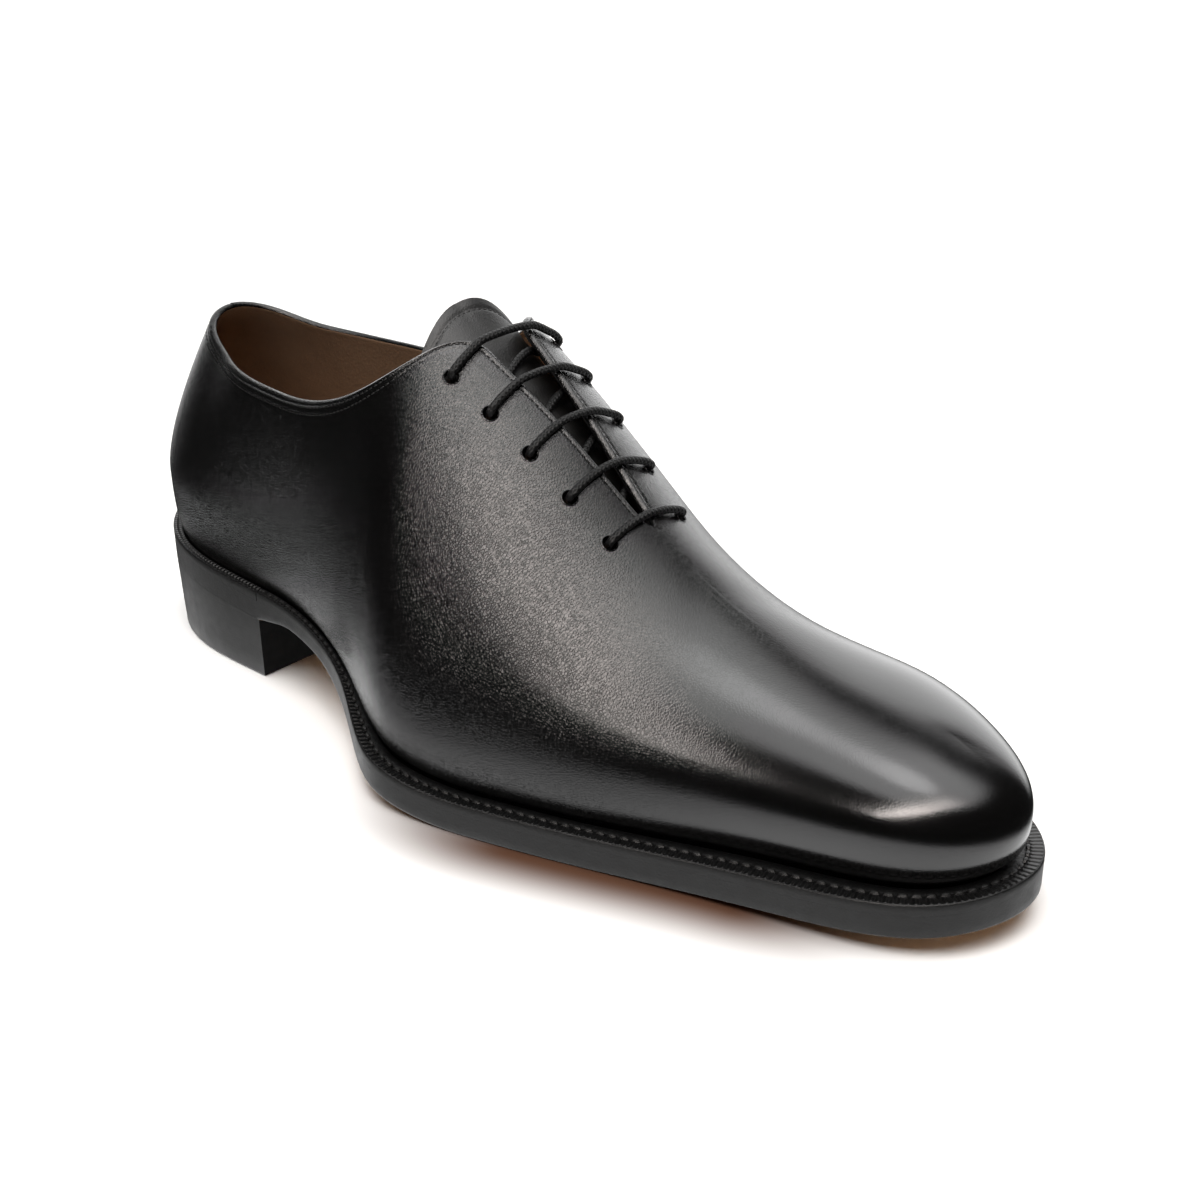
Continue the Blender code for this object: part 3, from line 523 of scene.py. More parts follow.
face, face_normal, face_up, from_edge = rows_from_edge(FACE_ROWS, BODY_ROWS)
lining, lining_normal, _, _ = rows_from_edge(LINING_ROWS, LINING_BODY_ROWS)
is_open = (upper_top < 1.0).astype(float)
edge_line_x = face[-1, :, 0]
is_throat = np.clip((edge_line_x - SECOND_SEAM_END) / SECOND_SEAM_FADE, 0, 1)
throat_fade = np.clip((THROAT_END_X - edge_line_x) / SEAM_FADE, 0, 1) * is_open
seam = np.exp(-((from_edge - SEAM_INSET) / SEAM_WIDTH) ** 2)
seam += np.exp(-((from_edge - SECOND_SEAM) / SEAM_WIDTH) ** 2) * (1 - is_throat)
bead = np.exp(-((from_edge - BEAD_INSET) / BEAD_WIDTH) ** 2)
relief = (bead * BEAD_LIFT - seam * SEAM_DEPTH) * throat_fade

# Soft creases of the vamp: middle, direction, half length, half width and depth of each trough
CREASES = (
    ((216.0, -10.0), (0.60, -0.80), 18.0, 5.5, 0.22),
    ((226.0, -8.0), (0.55, -0.84), 22.0, 6.5, 0.16),
    ((220.0, 11.0), (0.50, 0.87), 18.0, 5.5, 0.16),
)
for middle, direction, half_length, half_width, depth in CREASES:
    offset = face[..., :2] - middle
    along = offset @ np.array(direction)
    across = offset @ np.array((-direction[1], direction[0]))
    trough = np.exp(-(along / half_length) ** 2 - (across / half_width) ** 2)
    relief = relief - depth * trough
outer = face + face_normal * relief[..., None]
inner = lining - lining_normal * UPPER_WALL
roll = UPPER_WALL / 2
ridge_row = face_at(upper_s, upper_top)
at_edge = is_open[:, None] > 0
rolled = []
for turn in np.linspace(0, math.pi, EDGE_TURNS + 2)[1:-1]:
    round_edge = face[-1] + roll * ((math.cos(turn) - 1) * face_normal[-1] + math.sin(turn) * face_up[-1])
    flat_edge = ridge_row - face_normal[-1] * roll * (1 - math.cos(turn))
    rolled.append(np.where(at_edge, round_edge, flat_edge))
outer[-1] = np.where(at_edge, outer[-1], ridge_row)
inner[-1] = np.where(at_edge, inner[-1], ridge_row - lining_normal[-1] * UPPER_WALL)
skirt = outer[:1].copy()
skirt[..., 2] = outsole_top(skirt[..., 0]) + FIT_GAP
inner_skirt = inner[:1].copy()
inner_skirt[..., 2] = skirt[..., 2]
wall = np.concatenate([inner_skirt, skirt, outer, np.array(rolled), inner[::-1], inner_skirt])
upper_mesh = lofted(wall)
columns = len(upper_s) - 1
first_roll = 1 + len(outer)
last_roll = first_roll + len(rolled) + 1
upper_mesh.faces.ensure_lookup_table()
shut = []
for index, patch in enumerate(upper_mesh.faces):
    row, column = divmod(index, columns)
    if row >= last_roll - 1:
        patch.material_index = 1
    if first_roll <= row < last_roll and not is_open[column] and not is_open[column + 1]:
        shut.append(patch)
bmesh.ops.delete(upper_mesh, geom=shut, context="FACES_ONLY")
closed_up(upper_mesh, 2e-6, fill=False)


def in_metres(point):
    return Vector((np.asarray(point) - (*PLAN_CENTRE, 0.0)) * MILLIMETRE)


def turned_to(point, normal):
    """Placing matrix whose z axis is the surface normal at a point."""
    turn = Vector((0, 0, 1)).rotation_difference(Vector(normal)).to_matrix().to_4x4()
    return Matrix.Translation(in_metres(point)) @ turn


def calf_roughness(at):
    """Waxed to a gloss on the toe, softer along the quarters."""
    toe = at.axis("X").band(0.055, 0.125)
    return 0.20 - toe * 0.05 + at.noise(90, 4) * 0.05


def calf_coat(at):
    """Wax over the leather, thicker on the toe."""
    toe = at.axis("X").band(0.05, 0.12)
    return at.noise(25, 2) * 0.1 + 0.10 + toe * 0.3


def calf_grain(at):
    """Fine pebbled grain with pores, stretched flatter over the toe."""
    stretch = 1.0 - at.axis("X").band(0.02, 0.11) * 0.78
    edge = at.cells(1450, "DISTANCE_TO_EDGE")
    pebble = edge.maths("MINIMUM", edge, 0.28)
    return (pebble * 2.4 + at.noise(2300, 2) * 0.6) * stretch + at.noise(120, 3) * 0.5


box_calf = finish(
    "box_calf", {"Specular IOR Level": 0.5, "Coat Roughness": 0.12, "Coat IOR": 1.45},
    colour=mottled(35, 4, (0.0010, 0.0010, 0.0010), (0.0026, 0.0024, 0.0023)),
    roughness=calf_roughness,
    coat=calf_coat,
    relief=calf_grain, depth=0.070,
)
lining_leather = finish(
    "lining_leather", {"Specular IOR Level": 0.35},
    colour=mottled(45, 5, (0.15, 0.085, 0.045), (0.27, 0.160, 0.090), 0.6),
    roughness=uneven(200, 3, 0.2, 0.55),
    relief=lambda at: at.cells(1000) + at.noise(2200, 2) * 0.6, depth=0.06,
)
punch = bmesh.new()
lips = bmesh.new()
LIP_RADIUS, LIP_ROLL, LIP_SINK, PUNCH_DEPTH = 2.05, 0.26, 0.05, 3.2 * UPPER_WALL
for row in range(EYELET_ROWS):
    for side in (-1, 1):
        point, normal = crown_at(*eyelet_place(row, side))
        bmesh.ops.create_cone(
            punch, cap_ends=True, segments=28, radius1=EYELET_RADIUS * MILLIMETRE,
            radius2=EYELET_RADIUS * MILLIMETRE, depth=PUNCH_DEPTH * MILLIMETRE,
            matrix=turned_to(point - normal * UPPER_WALL / 2, normal),
        )
        start = Matrix.Translation((LIP_RADIUS * MILLIMETRE, 0, 0)) @ Matrix.Rotation(math.pi / 2, 4, "X")
        lip = bmesh.ops.create_circle(lips, segments=8, radius=LIP_ROLL * MILLIMETRE, matrix=start)
        ring_edges = list({edge for vert in lip["verts"] for edge in vert.link_edges})
        bmesh.ops.spin(
            lips, geom=lip["verts"] + ring_edges, cent=(0, 0, 0), axis=(0, 0, 1),
            angle=2 * math.pi, steps=24, use_merge=True,
        )
        fresh = [vert for vert in lips.verts if not vert.tag]
        bmesh.ops.transform(lips, matrix=turned_to(point - normal * LIP_SINK, normal), verts=fresh)
        for vert in fresh:
            vert.tag = True
bmesh.ops.recalc_face_normals(lips, faces=lips.faces[:])
shoe_piece("eyelet_lips", lips, [box_calf])

punch_data = bpy.data.meshes.new("eyelet_punch")
punch.to_mesh(punch_data)
punch.free()
punches = bpy.data.objects.new("eyelet_punch", punch_data)
bpy.context.scene.collection.objects.link(punches)
upper = shoe_piece("upper_calf", upper_mesh, [box_calf, lining_leather], ["upper"], 45.0)
holes = upper.modifiers.new("eyelets", "BOOLEAN")
holes.operation, holes.solver, holes.object = "DIFFERENCE", "EXACT", punches
holes.material_mode = "INDEX"
punched = bpy.data.meshes.new_from_object(upper.evaluated_get(bpy.context.evaluated_depsgraph_get()))
upper.modifiers.clear()
unpunched, upper.data = upper.data, punched
bpy.data.meshes.remove(unpunched)
bpy.data.objects.remove(punches, do_unlink=True)
upper.data.name = "upper_calf"
upper.data.shade_smooth()
upper.data.set_sharp_from_angle(angle=math.radians(45.0))


def stitch_row(mesh, line, normals, pitch, length, width, sink=0.0):
    """Row of low stitches laid along a line: small flattened beads of thread."""
    steps = np.linalg.norm(np.diff(line, axis=0), axis=1)
    at = np.concatenate([[0.0], np.cumsum(steps)])
    for place in np.arange(pitch / 2, at[-1], pitch):
        ends = [np.array([np.interp(place + d, at, line[:, i]) for i in range(3)]) for d in (-0.3, 0.3)]
        normal = Vector([np.interp(place, at, normals[:, i]) for i in range(3)]).normalized()
        along = Vector(ends[1] - ends[0]).normalized()
        aside = normal.cross(along).normalized()
        turn = Matrix((along, aside, along.cross(aside))).transposed().to_4x4()
        middle = in_metres((ends[0] + ends[1]) / 2 + np.array(normal) * sink)
        size = Matrix.Diagonal((length / 2, width / 2, width / 2, 1 / MILLIMETRE)) * MILLIMETRE
        bmesh.ops.create_uvsphere(
            mesh, u_segments=6, v_segments=4, radius=1.0,
            matrix=Matrix.Translation(middle) @ turn @ size,
        )


edge_thread = finish(
    "edge_thread", {"Specular IOR Level": 0.4},
    colour=mottled(900, 2, (0.0030, 0.0030, 0.0030), (0.0080, 0.0078, 0.0076)),
    roughness=uneven(1500, 2, 0.2, 0.4),
    relief=lambda at: at.noise(5000, 2), depth=0.05,
)
stitches = bmesh.new()
open_columns = np.nonzero(throat_fade[:-1] > 0.2)[0]
sides = (
    open_columns[open_columns <= len(one_side) - 1][::-1],
    open_columns[open_columns > len(one_side) - 1][::-1],
)
EDGE_STITCH = {"pitch": 1.75, "length": 1.35, "width": 0.42, "sink": 0.02}
for inset, last_x in ((SEAM_INSET, SOLE_LENGTH), (SECOND_SEAM, SECOND_STITCH_END)):
    row = int(np.argmin(np.abs(from_edge[:, 0] - inset)))
    for side in sides:
        kept = side[edge_line_x[side] < last_x]
        stitch_row(stitches, outer[row, kept], face_normal[row, kept], **EDGE_STITCH)
shoe_piece("edge_stitches", stitches, [edge_thread])


# Tongue: a shaped piece of softer black calf lined in tan, skived thin and sewn in under the
# facings at the vamp. Its top edge is turned and stitched a few millimetres inside.
TONGUE_TOP_X, TONGUE_FRONT_X, TONGUE_WALL = 135.0, 216.0, 1.6
TONGUE_HALF_TOP, TONGUE_HALF_FRONT, TONGUE_CORNER = 23.0, 13.0, 3.5
TONGUE_TIP_LIFT, TONGUE_TIP_LENGTH, TONGUE_TIP_MIDDLE, TONGUE_TIP_WIDTH = 2.0, 0.2, 0.55, 0.6
TONGUE_CLOSE_START, TONGUE_CLOSE_END, LACE_ROOM = 0.70, 0.95, 4.0
TONGUE_BORDER, BORDER_DEPTH, BORDER_WIDTH = 2.6, 0.30, 0.5

tongue_t = np.concatenate([np.linspace(0, 0.12, 22), np.linspace(0.12, 1, 46)[1:]])[:, None]
tongue_share = np.sin(np.linspace(-1, 1, 49) * math.pi / 2 * 0.9)[None, :] / math.sin(math.pi / 2 * 0.9)
tongue_half = TONGUE_HALF_TOP + (TONGUE_HALF_FRONT - TONGUE_HALF_TOP) * tongue_t
closing = smooth_step(tongue_t, TONGUE_CLOSE_START, TONGUE_CLOSE_END)
tongue_depth = UPPER_WALL + LACE_ROOM + (1.2 * FIT_GAP - LACE_ROOM) * closing
tip_reach = np.clip(1 - tongue_t / TONGUE_TIP_LENGTH, 0, None) ** 2
tip_spread = np.clip(1 - ((tongue_share - TONGUE_TIP_MIDDLE) / TONGUE_TIP_WIDTH) ** 2, 0, None)
tip = TONGUE_TIP_LIFT * tip_reach * tip_spread
tongue_x = TONGUE_TOP_X + (TONGUE_FRONT_X - TONGUE_TOP_X) * tongue_t
tongue_x = tongue_x + TONGUE_CORNER * np.clip(tongue_share, 0, None) ** 3 * (1 - tongue_t) ** 2
tongue_face, tongue_normal = crown_at(tongue_x, tongue_half * tongue_share)
tongue_face = tongue_face - tongue_normal * (tongue_depth - tip)[..., None]
from_top = (TONGUE_FRONT_X - TONGUE_TOP_X) * tongue_t * np.ones_like(tongue_share)
from_side = tongue_half * (1 - np.abs(tongue_share))
from_border = np.minimum(from_top, from_side)
fold = -BORDER_DEPTH * np.exp(-((from_border - TONGUE_BORDER) / BORDER_WIDTH) ** 2)
tongue_top = tongue_face + tongue_normal * fold[..., None]
tongue_back = tongue_face - tongue_normal * TONGUE_WALL
tongue_loop = np.concatenate([tongue_top, tongue_back[:, ::-1], tongue_top[:, :1]], axis=1)
tongue_mesh = lofted(tongue_loop)
for patch in tongue_mesh.faces:
    patch.material_index = int(patch.index % (tongue_loop.shape[1] - 1) >= tongue_top.shape[1])
tongue_calf = finish(
    "tongue_calf", {"Specular IOR Level": 0.5},
    colour=mottled(50, 4, (0.0030, 0.0030, 0.0030), (0.0070, 0.0065, 0.0060)),
    roughness=uneven(120, 4, 0.14, 0.36),
    relief=lambda at: at.cells(1300, "DISTANCE_TO_EDGE") * 1.6 + at.noise(2400, 2) * 0.6, depth=0.06,
)
shoe_piece(
    "tongue_calf", closed_up(tongue_mesh), [tongue_calf, lining_leather],
    ["tongue"], 50.0,
)
tongue_stitches = bmesh.new()
border_row = int(np.argmin(np.abs(from_top[:, 0] - TONGUE_BORDER)))
stitch_row(
    tongue_stitches, tongue_top[border_row, 5:-5], tongue_normal[border_row, 5:-5], **EDGE_STITCH,
)
shoe_piece("tongue_stitches", tongue_stitches, [edge_thread])


# Welt and heel rand: strips of firm black leather sewn round the upper's foot, the rand carrying
# on round the heel. The welt's top is wheeled between its lock stitches and its edge is trimmed
# flush with the sole, inked and waxed.
WELT_GROOVE = 0.8
WELT_PROFILE = (
    (0, 0.0, 0.02), (0, 0.0, 1.2), (0, 0.0, 2.55), (0, 0.07, 2.82), (0, 0.22, 2.96), (0, 0.4, 3.0),
    (0.16, 0.1, 3.0), (0.28, 0.1, 3.0), (0.38, 0.0, 2.98), (0.44, 0.0, 2.75), (0.50, 0.0, 2.65),
    (0.56, 0.0, 2.75), (0.62, 0.0, 2.92), (0.85, 0.0, 2.95), (1, -WELT_GROOVE - 0.2, 2.9),
    (1, -WELT_GROOVE, 2.6), (1, -WELT_GROOVE, 0.02),
)
WELT_SEAM_SHARE, WELT_SEAM_HEIGHT = 0.47, 2.92
WELT_STITCH = {"pitch": 3.1, "length": 2.5, "width": 1.3}
WHEEL_PITCH, WHEEL_START, WHEEL_END, WELT_TOP_FACING = 1.55, 3.45, 5.2, 0.6


def edge_strip(lines):
    """Closed strip along the sole's edge; lines lists the two sides' rows in running order."""
    rows = np.vstack(lines)
    loop = []
    for share, inset, height in WELT_PROFILE + WELT_PROFILE[:1]:
        plan = rows[:, :2] - rows[:, 3:5] * (share * rows[:, 2:3] + inset)
        loop.append(np.column_stack([plan, outsole_top(plan[:, 0]) + height]))
    strip = closed_up(lofted(np.array(loop)))
    # Faces looking up take the top's finish: wheeled, and painted darker as the shade under the upper
    for patch in strip.faces:
        patch.material_index = int(patch.normal.z > WELT_TOP_FACING)
    return strip


def wheel_marks(at):
    """Low ridges that the wheel presses across the welt's outer part, along the strip's own UV."""
    uv = at.node("UVMap", {"uv_map": "surface"})
    along = uv.axis("X") * (2 * math.pi / WHEEL_PITCH)
    across = uv.axis("Y")
    pressed = across.band(WHEEL_START - 0.3, WHEEL_START)
    pressed = pressed * across.band(WHEEL_END, WHEEL_END + 0.4, 1.0, 0.0)
    return along.maths("SINE", along) * pressed + at.noise(1500, 4, 0.6) * 0.7 + at.noise(500, 3) * 0.8


def sole_stations(start, end, count):
    """Stations from the waist to the toe, closer together round the toe."""
    return start + (end - start) * np.sin(np.linspace(0, math.pi / 2, count))


edge_black = finish(
    "edge_black", {"Specular IOR Level": 0.5},
    colour=mottled(120, 5, (0.0040, 0.0040, 0.0040), (0.0080, 0.0079, 0.0078), 0.6),
    roughness=uneven(300, 4, 0.2, 0.32),
    relief=lambda at: at.noise(1600, 4, 0.6) + at.noise(260, 3) * 0.6, depth=0.05,
)
# Top of the welt and rand: real wheel marks, with a colour and shine painted darker and duller than the
# edge's as painted shade where the upper overhangs it
welt_top_painted_shade = finish(
    "welt_top_painted_shade", {"Specular IOR Level": 0.30},
    colour=mottled(200, 4, (0.0015, 0.0015, 0.0015), (0.0040, 0.0040, 0.0040)),
    roughness=uneven(400, 4, 0.2, 0.30),
    relief=wheel_marks, depth=0.22,
)
front_x = sole_stations(HEEL_LENGTH, TOE_X, 120)
lateral_front, medial_front = edge_rows(front_x, LATERAL_EDGE), edge_rows(front_x, MEDIAL_EDGE)[-2::-1]
welt_mesh = edge_strip([lateral_front, medial_front])
shoe_piece("welt_strip", welt_mesh, [edge_black, welt_top_painted_shade], ["welt"])
rear_x = HEEL_X + (HEEL_LENGTH - FIT_GAP - HEEL_X) * (1 - np.cos(np.linspace(0, math.pi / 2, 50)))
lateral_rear, medial_rear = edge_rows(rear_x, LATERAL_EDGE), edge_rows(rear_x, MEDIAL_EDGE)[:0:-1]
rand_mesh = edge_strip([medial_rear, lateral_rear])
shoe_piece("rand_strip", rand_mesh, [edge_black, welt_top_painted_shade], ["heel_rand"])

welt_thread = finish(
    "welt_thread", {"Specular IOR Level": 0.5},
    colour=mottled(700, 3, (0.0040, 0.0040, 0.0040), (0.0120, 0.0118, 0.0116)),
    roughness=uneven(1200, 2, 0.2, 0.34),
    relief=lambda at: at.noise(3500, 3), depth=0.08,
)
welt_stitches = bmesh.new()
welt_rows = np.vstack([lateral_front, medial_front])
seam_plan = welt_rows[:, :2] - welt_rows[:, 3:5] * (WELT_SEAM_SHARE * welt_rows[:, 2:3])
seam_line = np.column_stack([seam_plan, outsole_top(seam_plan[:, 0]) + WELT_SEAM_HEIGHT])
seam_up = np.tile((0.0, 0.0, 1.0), (len(seam_line), 1))
stitch_row(welt_stitches, seam_line, seam_up, **WELT_STITCH)
shoe_piece("welt_stitches", welt_stitches, [welt_thread])


# Outsole: one bend of firm leather, its edge inked black and waxed, its under face left tan with
# a shallow channel closed over the stitching. It is sewn through to the welt.
OUTSOLE_EDGE = (
    (10.0, 0, 0.0), (6.6, 0, 0.0), (6.3, 0, 0.22), (6.0, 0, 0.0), (0.75, 0, 0.0), (0.45, 0, 0.06),
    (0.2, 0, 0.25), (0.05, 0, 0.55), (0.0, 0, 0.95), (0.0, 0, 2.6), (0.0, 0, 4.4), (0.0, 0, 6.0),
    (4.0, 0, 6.0),
)
WAIST_BEVEL, WAIST_BEVEL_RISE, WAIST_BEVEL_REACH = (70.0, 86.0, 100.0, 122.0), 2.7, 9.6
UNDER_FACING = -0.86


def sole_face(x, inset, height):
    """Height of the outsole's skin: the under face, bevelled up to the edge at the waist."""
    start, full, fading, end = WAIST_BEVEL
    bevel = smooth_step(x, start, full) * smooth_step(x, end, fading) * WAIST_BEVEL_RISE
    inwards = np.clip(1 - inset / WAIST_BEVEL_REACH, 0, 1) * (1 - height / OUTSOLE_THICKNESS)
    return sole_under(x) + height + bevel * inwards


sole_tan = finish(
    "sole_tan", {"Specular IOR Level": 0.4},
    colour=mottled(55, 5, (0.30, 0.165, 0.080), (0.43, 0.260, 0.140), 0.6),
    roughness=uneven(160, 4, 0.2, 0.45),
    relief=lambda at: at.noise(1400, 4, 0.65) + at.cells(420) * 0.5, depth=0.06,
)
flat = TREAD_HALF - 1.0
sole_x = rounded_stations(HEEL_X, TOE_X, 150)
kept_x = np.array([HEEL_LENGTH, TREAD_MIDDLE - flat, TREAD_MIDDLE, TREAD_MIDDLE + flat])
sole_x = np.sort(np.concatenate([sole_x[np.abs(sole_x[:, None] - kept_x).min(axis=1) > 0.6], kept_x]))
over_heel = np.clip((HEEL_LENGTH + 1.0 - sole_x) / 1.0, 0, 1)
outsole_mesh = closed_up(lofted(sole_slab(sole_x, OUTSOLE_EDGE, 14, sole_face, over_heel)))
for patch in outsole_mesh.faces:
    patch.material_index = int(patch.normal.z < UNDER_FACING)
shoe_piece("outsole_leather", outsole_mesh, [edge_black, sole_tan], ["outsole"])


# Heel: leather lifts stacked, pegged and trimmed together, the breast cut straight across. Its
# sides are inked black and waxed; it is nailed up through the seat of the sole.
HEEL_PROFILE = (
    (1.5, 1.7, 0.0, 0.0), (1.15, 1.35, 0.0, 0.12), (0.85, 1.05, 0.0, 0.45), (0.8, 1.0, 0.0, 0.8),
    (0.55, 0.7, 0.3, 0.0), (0.3, 0.4, 0.6, 0.0), (0.0, 0.0, 0.97, 0.0), (0.0, 0.0, 1.0, 0.0),
)
HEEL_TOP_GAP, LIFT_THICKNESS, BREAST_FACING = 0.02, 0.0024, 0.9
heel_x = HEEL_X + (HEEL_LENGTH - HEEL_X) * (1 - np.cos(np.linspace(0, math.pi / 2, 60)))
heel_sides = []
for edge in (LATERAL_EDGE, MEDIAL_EDGE):
    rows = edge_rows(heel_x, edge)
    layers = []
    for inset, lean, share, lift in HEEL_PROFILE:
        plan = rows[:, :2] - rows[:, 3:5] * inset
        plan[-1, 0] = HEEL_LENGTH - lean
        top = sole_under(plan[:, 0]) - HEEL_TOP_GAP
        layers.append(np.column_stack([plan, top * share + lift]))
    heel_sides.append(np.array(layers))


def lift_relief(at):
    """Faint lines between the stacked lifts, under the wax."""
    wave = at.maths("PINGPONG", at.axis("Z"), LIFT_THICKNESS) / LIFT_THICKNESS
    return wave.band(0.0, 0.08) * 0.2 + at.noise(1500, 4, 0.6) * 0.5 + at.noise(200, 3) * 0.6


heel_black = finish(
    "heel_black", {"Specular IOR Level": 0.5},
    colour=mottled(110, 5, (0.0040, 0.0040, 0.0040), (0.0080, 0.0079, 0.0078), 0.6),
    roughness=uneven(260, 4, 0.2, 0.30),
    relief=lift_relief, depth=0.05,
)
# Breast of the heel: the heel's finish painted darker and made nearly unreflective, as painted shade for
# the shadow under the arch
breast_painted_shade = finish(
    "breast_painted_shade", {"Specular IOR Level": 0.08},
    colour=mottled(140, 4, (0.0015, 0.0015, 0.0015), (0.0035, 0.0034, 0.0033)),
    roughness=uneven(300, 3, 0.2, 0.60),
    relief=lift_relief, depth=0.05,
)
heel_mesh = closed_up(lofted(slab_skin(*heel_sides, 12)))
# Faces looking forward at the breast take the painted-shade finish
for patch in heel_mesh.faces:
    patch.material_index = int(patch.normal.x > BREAST_FACING)
shoe_piece("heel_stack", heel_mesh, [heel_black, breast_painted_shade], ["heel"])


# Lace: one round woven cotton lace, waxed. It goes in straight bars over the facings, down through
# the eyelets and slanting beneath from row to row; both ends stop under the top eyelets.
LACE_DIAMETER = 2.1
LACE_RUN_ASIDE, LACE_LEAN, LACE_TAIL = 5.5, 0.6, 5.0
LACE_RUN_SHARES = (0.0, 0.25, 0.5, 0.75)
LACE_SLANT_SHARES = (0.04, 0.28, 0.5, 0.72, 0.96)
LACE_SPACING, LACE_SIDES = 0.55, 14
STRANDS_ROUND, STRANDS_ALONG = 8.0, 4.2


def lace_route():
    """Points the lace passes: x, distance across from the ridge, and lift off the upper's face."""
    over = LACE_DIAMETER / 2 + FIT_GAP
    under = -(UPPER_WALL + LACE_DIAMETER / 2 + 2 * FIT_GAP)
    last = EYELET_ROWS - 1
    low_x, low_across = eyelet_place(last, 1)
    top_x, top_across = eyelet_place(0, 1)
    route = []
    for share in LACE_RUN_SHARES:
        across = top_across + (low_across - top_across) * share
        route.append((top_x + (low_x - top_x) * share, across + LACE_RUN_ASIDE, under))
    route.append((low_x, low_across + LACE_LEAN, under))
    for row in range(last, -1, -1):
        x, across = eyelet_place(row, 1)
        edge = float(throat_half(np.array(x)))
        route.append((x, across, -UPPER_WALL / 2))
        for place in (across - LACE_LEAN, (across + edge) / 2, edge):
            route.append((x, place, over))
        for place in (edge, (across + edge) / 2, across - LACE_LEAN):
            route.append((x, -place, over))
        route.append((x, -across, -UPPER_WALL / 2))
        if row:
            next_x, next_across = eyelet_place(row - 1, 1)
            for share in LACE_SLANT_SHARES:
                route.append((x + (next_x - x) * share, -across + (next_across + across) * share, under))
        else:
            route.append((x, -across - LACE_LEAN, under))
            route.append((x, -across - LACE_TAIL, under))
    x, across, lift = np.array(route).T
    point, normal = crown_at(x, across)
    return point + normal * lift[:, None]


def smooth_route(points, spacing):
    """Points read closely from a smooth curve through the route."""
    padded = np.vstack([2 * points[0] - points[1], points, 2 * points[-1] - points[-2]])
    out = []
    for before, start, end, after in zip(padded, padded[1:], padded[2:], padded[3:]):
        length = np.linalg.norm(end - start)
        pieces = max(1, int(round(length / spacing)))
        leave = (end - before) / max(np.linalg.norm(end - before), 1e-9) * length
        arrive = (after - start) / max(np.linalg.norm(after - start), 1e-9) * length
        for k in range(pieces):
            t = k / pieces
            hermite = (2 * t**3 - 3 * t**2 + 1, t**3 - 2 * t**2 + t, -2 * t**3 + 3 * t**2, t**3 - t**2)
            out.append(hermite[0] * start + hermite[1] * leave + hermite[2] * end + hermite[3] * arrive)
    return np.array(out + [padded[-2]])


def lace_tube(path):
    """Round tube along a path, its frame carried along without twist."""
    tangent = np.gradient(path, axis=0)
    tangent /= np.linalg.norm(tangent, axis=1, keepdims=True)
    side = np.cross(tangent[0], (0.0, 0.0, 1.0))
    turn = np.linspace(0, 2 * math.pi, LACE_SIDES + 1)
    rings = []
    for point, ahead in zip(path, tangent):
        side = side - ahead * (side @ ahead)
        side /= np.linalg.norm(side)
        upright = np.cross(ahead, side)
        around = np.outer(np.cos(turn), side) + np.outer(np.sin(turn), upright)
        rings.append(point + around * LACE_DIAMETER / 2)
    return lofted(np.array(rings))


def lace_weave(at):
    """Strands of the braid: two sets of slanting ridges, read from the surface's own UV."""
    uv = at.node("UVMap", {"uv_map": "surface"})
    turn = uv.axis("X") * (STRANDS_ROUND / LACE_DIAMETER)
    along = uv.axis("Y") * STRANDS_ALONG
    one_way, other_way = (at.maths("SINE", along + turn * way) for way in (1, -1))
    return one_way.most(other_way) + at.noise(4000, 2) * 0.5


waxed_lace = finish(
    "waxed_lace", {"Specular IOR Level": 0.30},
    colour=mottled(600, 3, (0.0020, 0.0020, 0.0021), (0.0060, 0.0060, 0.0060)),
    roughness=uneven(900, 2, 0.2, 0.40),
    relief=lace_weave, depth=0.10,
)
lace_mesh = closed_up(lace_tube(smooth_route(lace_route(), LACE_SPACING)))
shoe_piece("lace_cord", lace_mesh, [waxed_lace], ["lace"])


# Floor, studio light and camera: white paper under the shoe and a white drum round it, lit by one
# large soft light above. What the leather mirrors is a dome apart from these: a strip light above
# the toe, a pale ceiling, a pale wall on the medial side and the paper below.
FLOOR_HALF, DRUM_RADIUS, STUDIO_GLOW = 12.0, 11.5, 1.15
# Painted shadow on the paper: the sole's lateral edge as a cubic in x, in metres, and the width of the
# painted brown shade beside it, faded out under the sole, behind the waist and at the toe
SOLE_EDGE_CUBIC = (-0.0524, -0.066, 5.5, -26.5)
SHADE_WIDTH, SHADE_INNER = 0.026, (-0.03, -0.02)
SHADE_REAR, SHADE_FRONT = (-0.030, 0.040), (0.095, 0.145)


def stage_piece(name, mesh, stage_finish):
    """Part of the studio, not of the shoe; the leather doesn't mirror it."""
    data = bpy.data.meshes.new(name)
    mesh.to_mesh(data)
    mesh.free()
    data.materials.append(stage_finish)
    piece = bpy.data.objects.new(name, data)
    piece.visible_glossy = False
    bpy.context.scene.collection.objects.link(piece)
    return piece


def paper_with_painted_shadow(at):
    """White, with a painted shadow of warm brown in a narrow strip along the lateral edge of the sole."""
    x, y = at.axis("X"), at.axis("Y")
    level, slope, bend, turn = SOLE_EDGE_CUBIC
    outside = ((x * turn + bend) * x + slope) * x + level - y
    # painted shadow: brown at the sole's edge, fading to white across the shade's width
    shade = outside.band(0.0, SHADE_WIDTH, 1.0, 0.0) * outside.band(*SHADE_INNER)
    shade = shade * x.band(*SHADE_REAR) * x.band(*SHADE_FRONT, 1.0, 0.0)
    return at.tint(shade, (0.92, 0.92, 0.92), (0.085, 0.042, 0.026))


def paper_glow(at):
    """The paper glows white of itself far from the shoe, where the light falls off."""
    far = at.node("VectorMath", {"operation": "LENGTH"}, {0: at}, output="Value").band(0.6, 1.6)
    return at.tint(far, (0.0, 0.0, 0.0), (1.0, 1.0, 1.0))


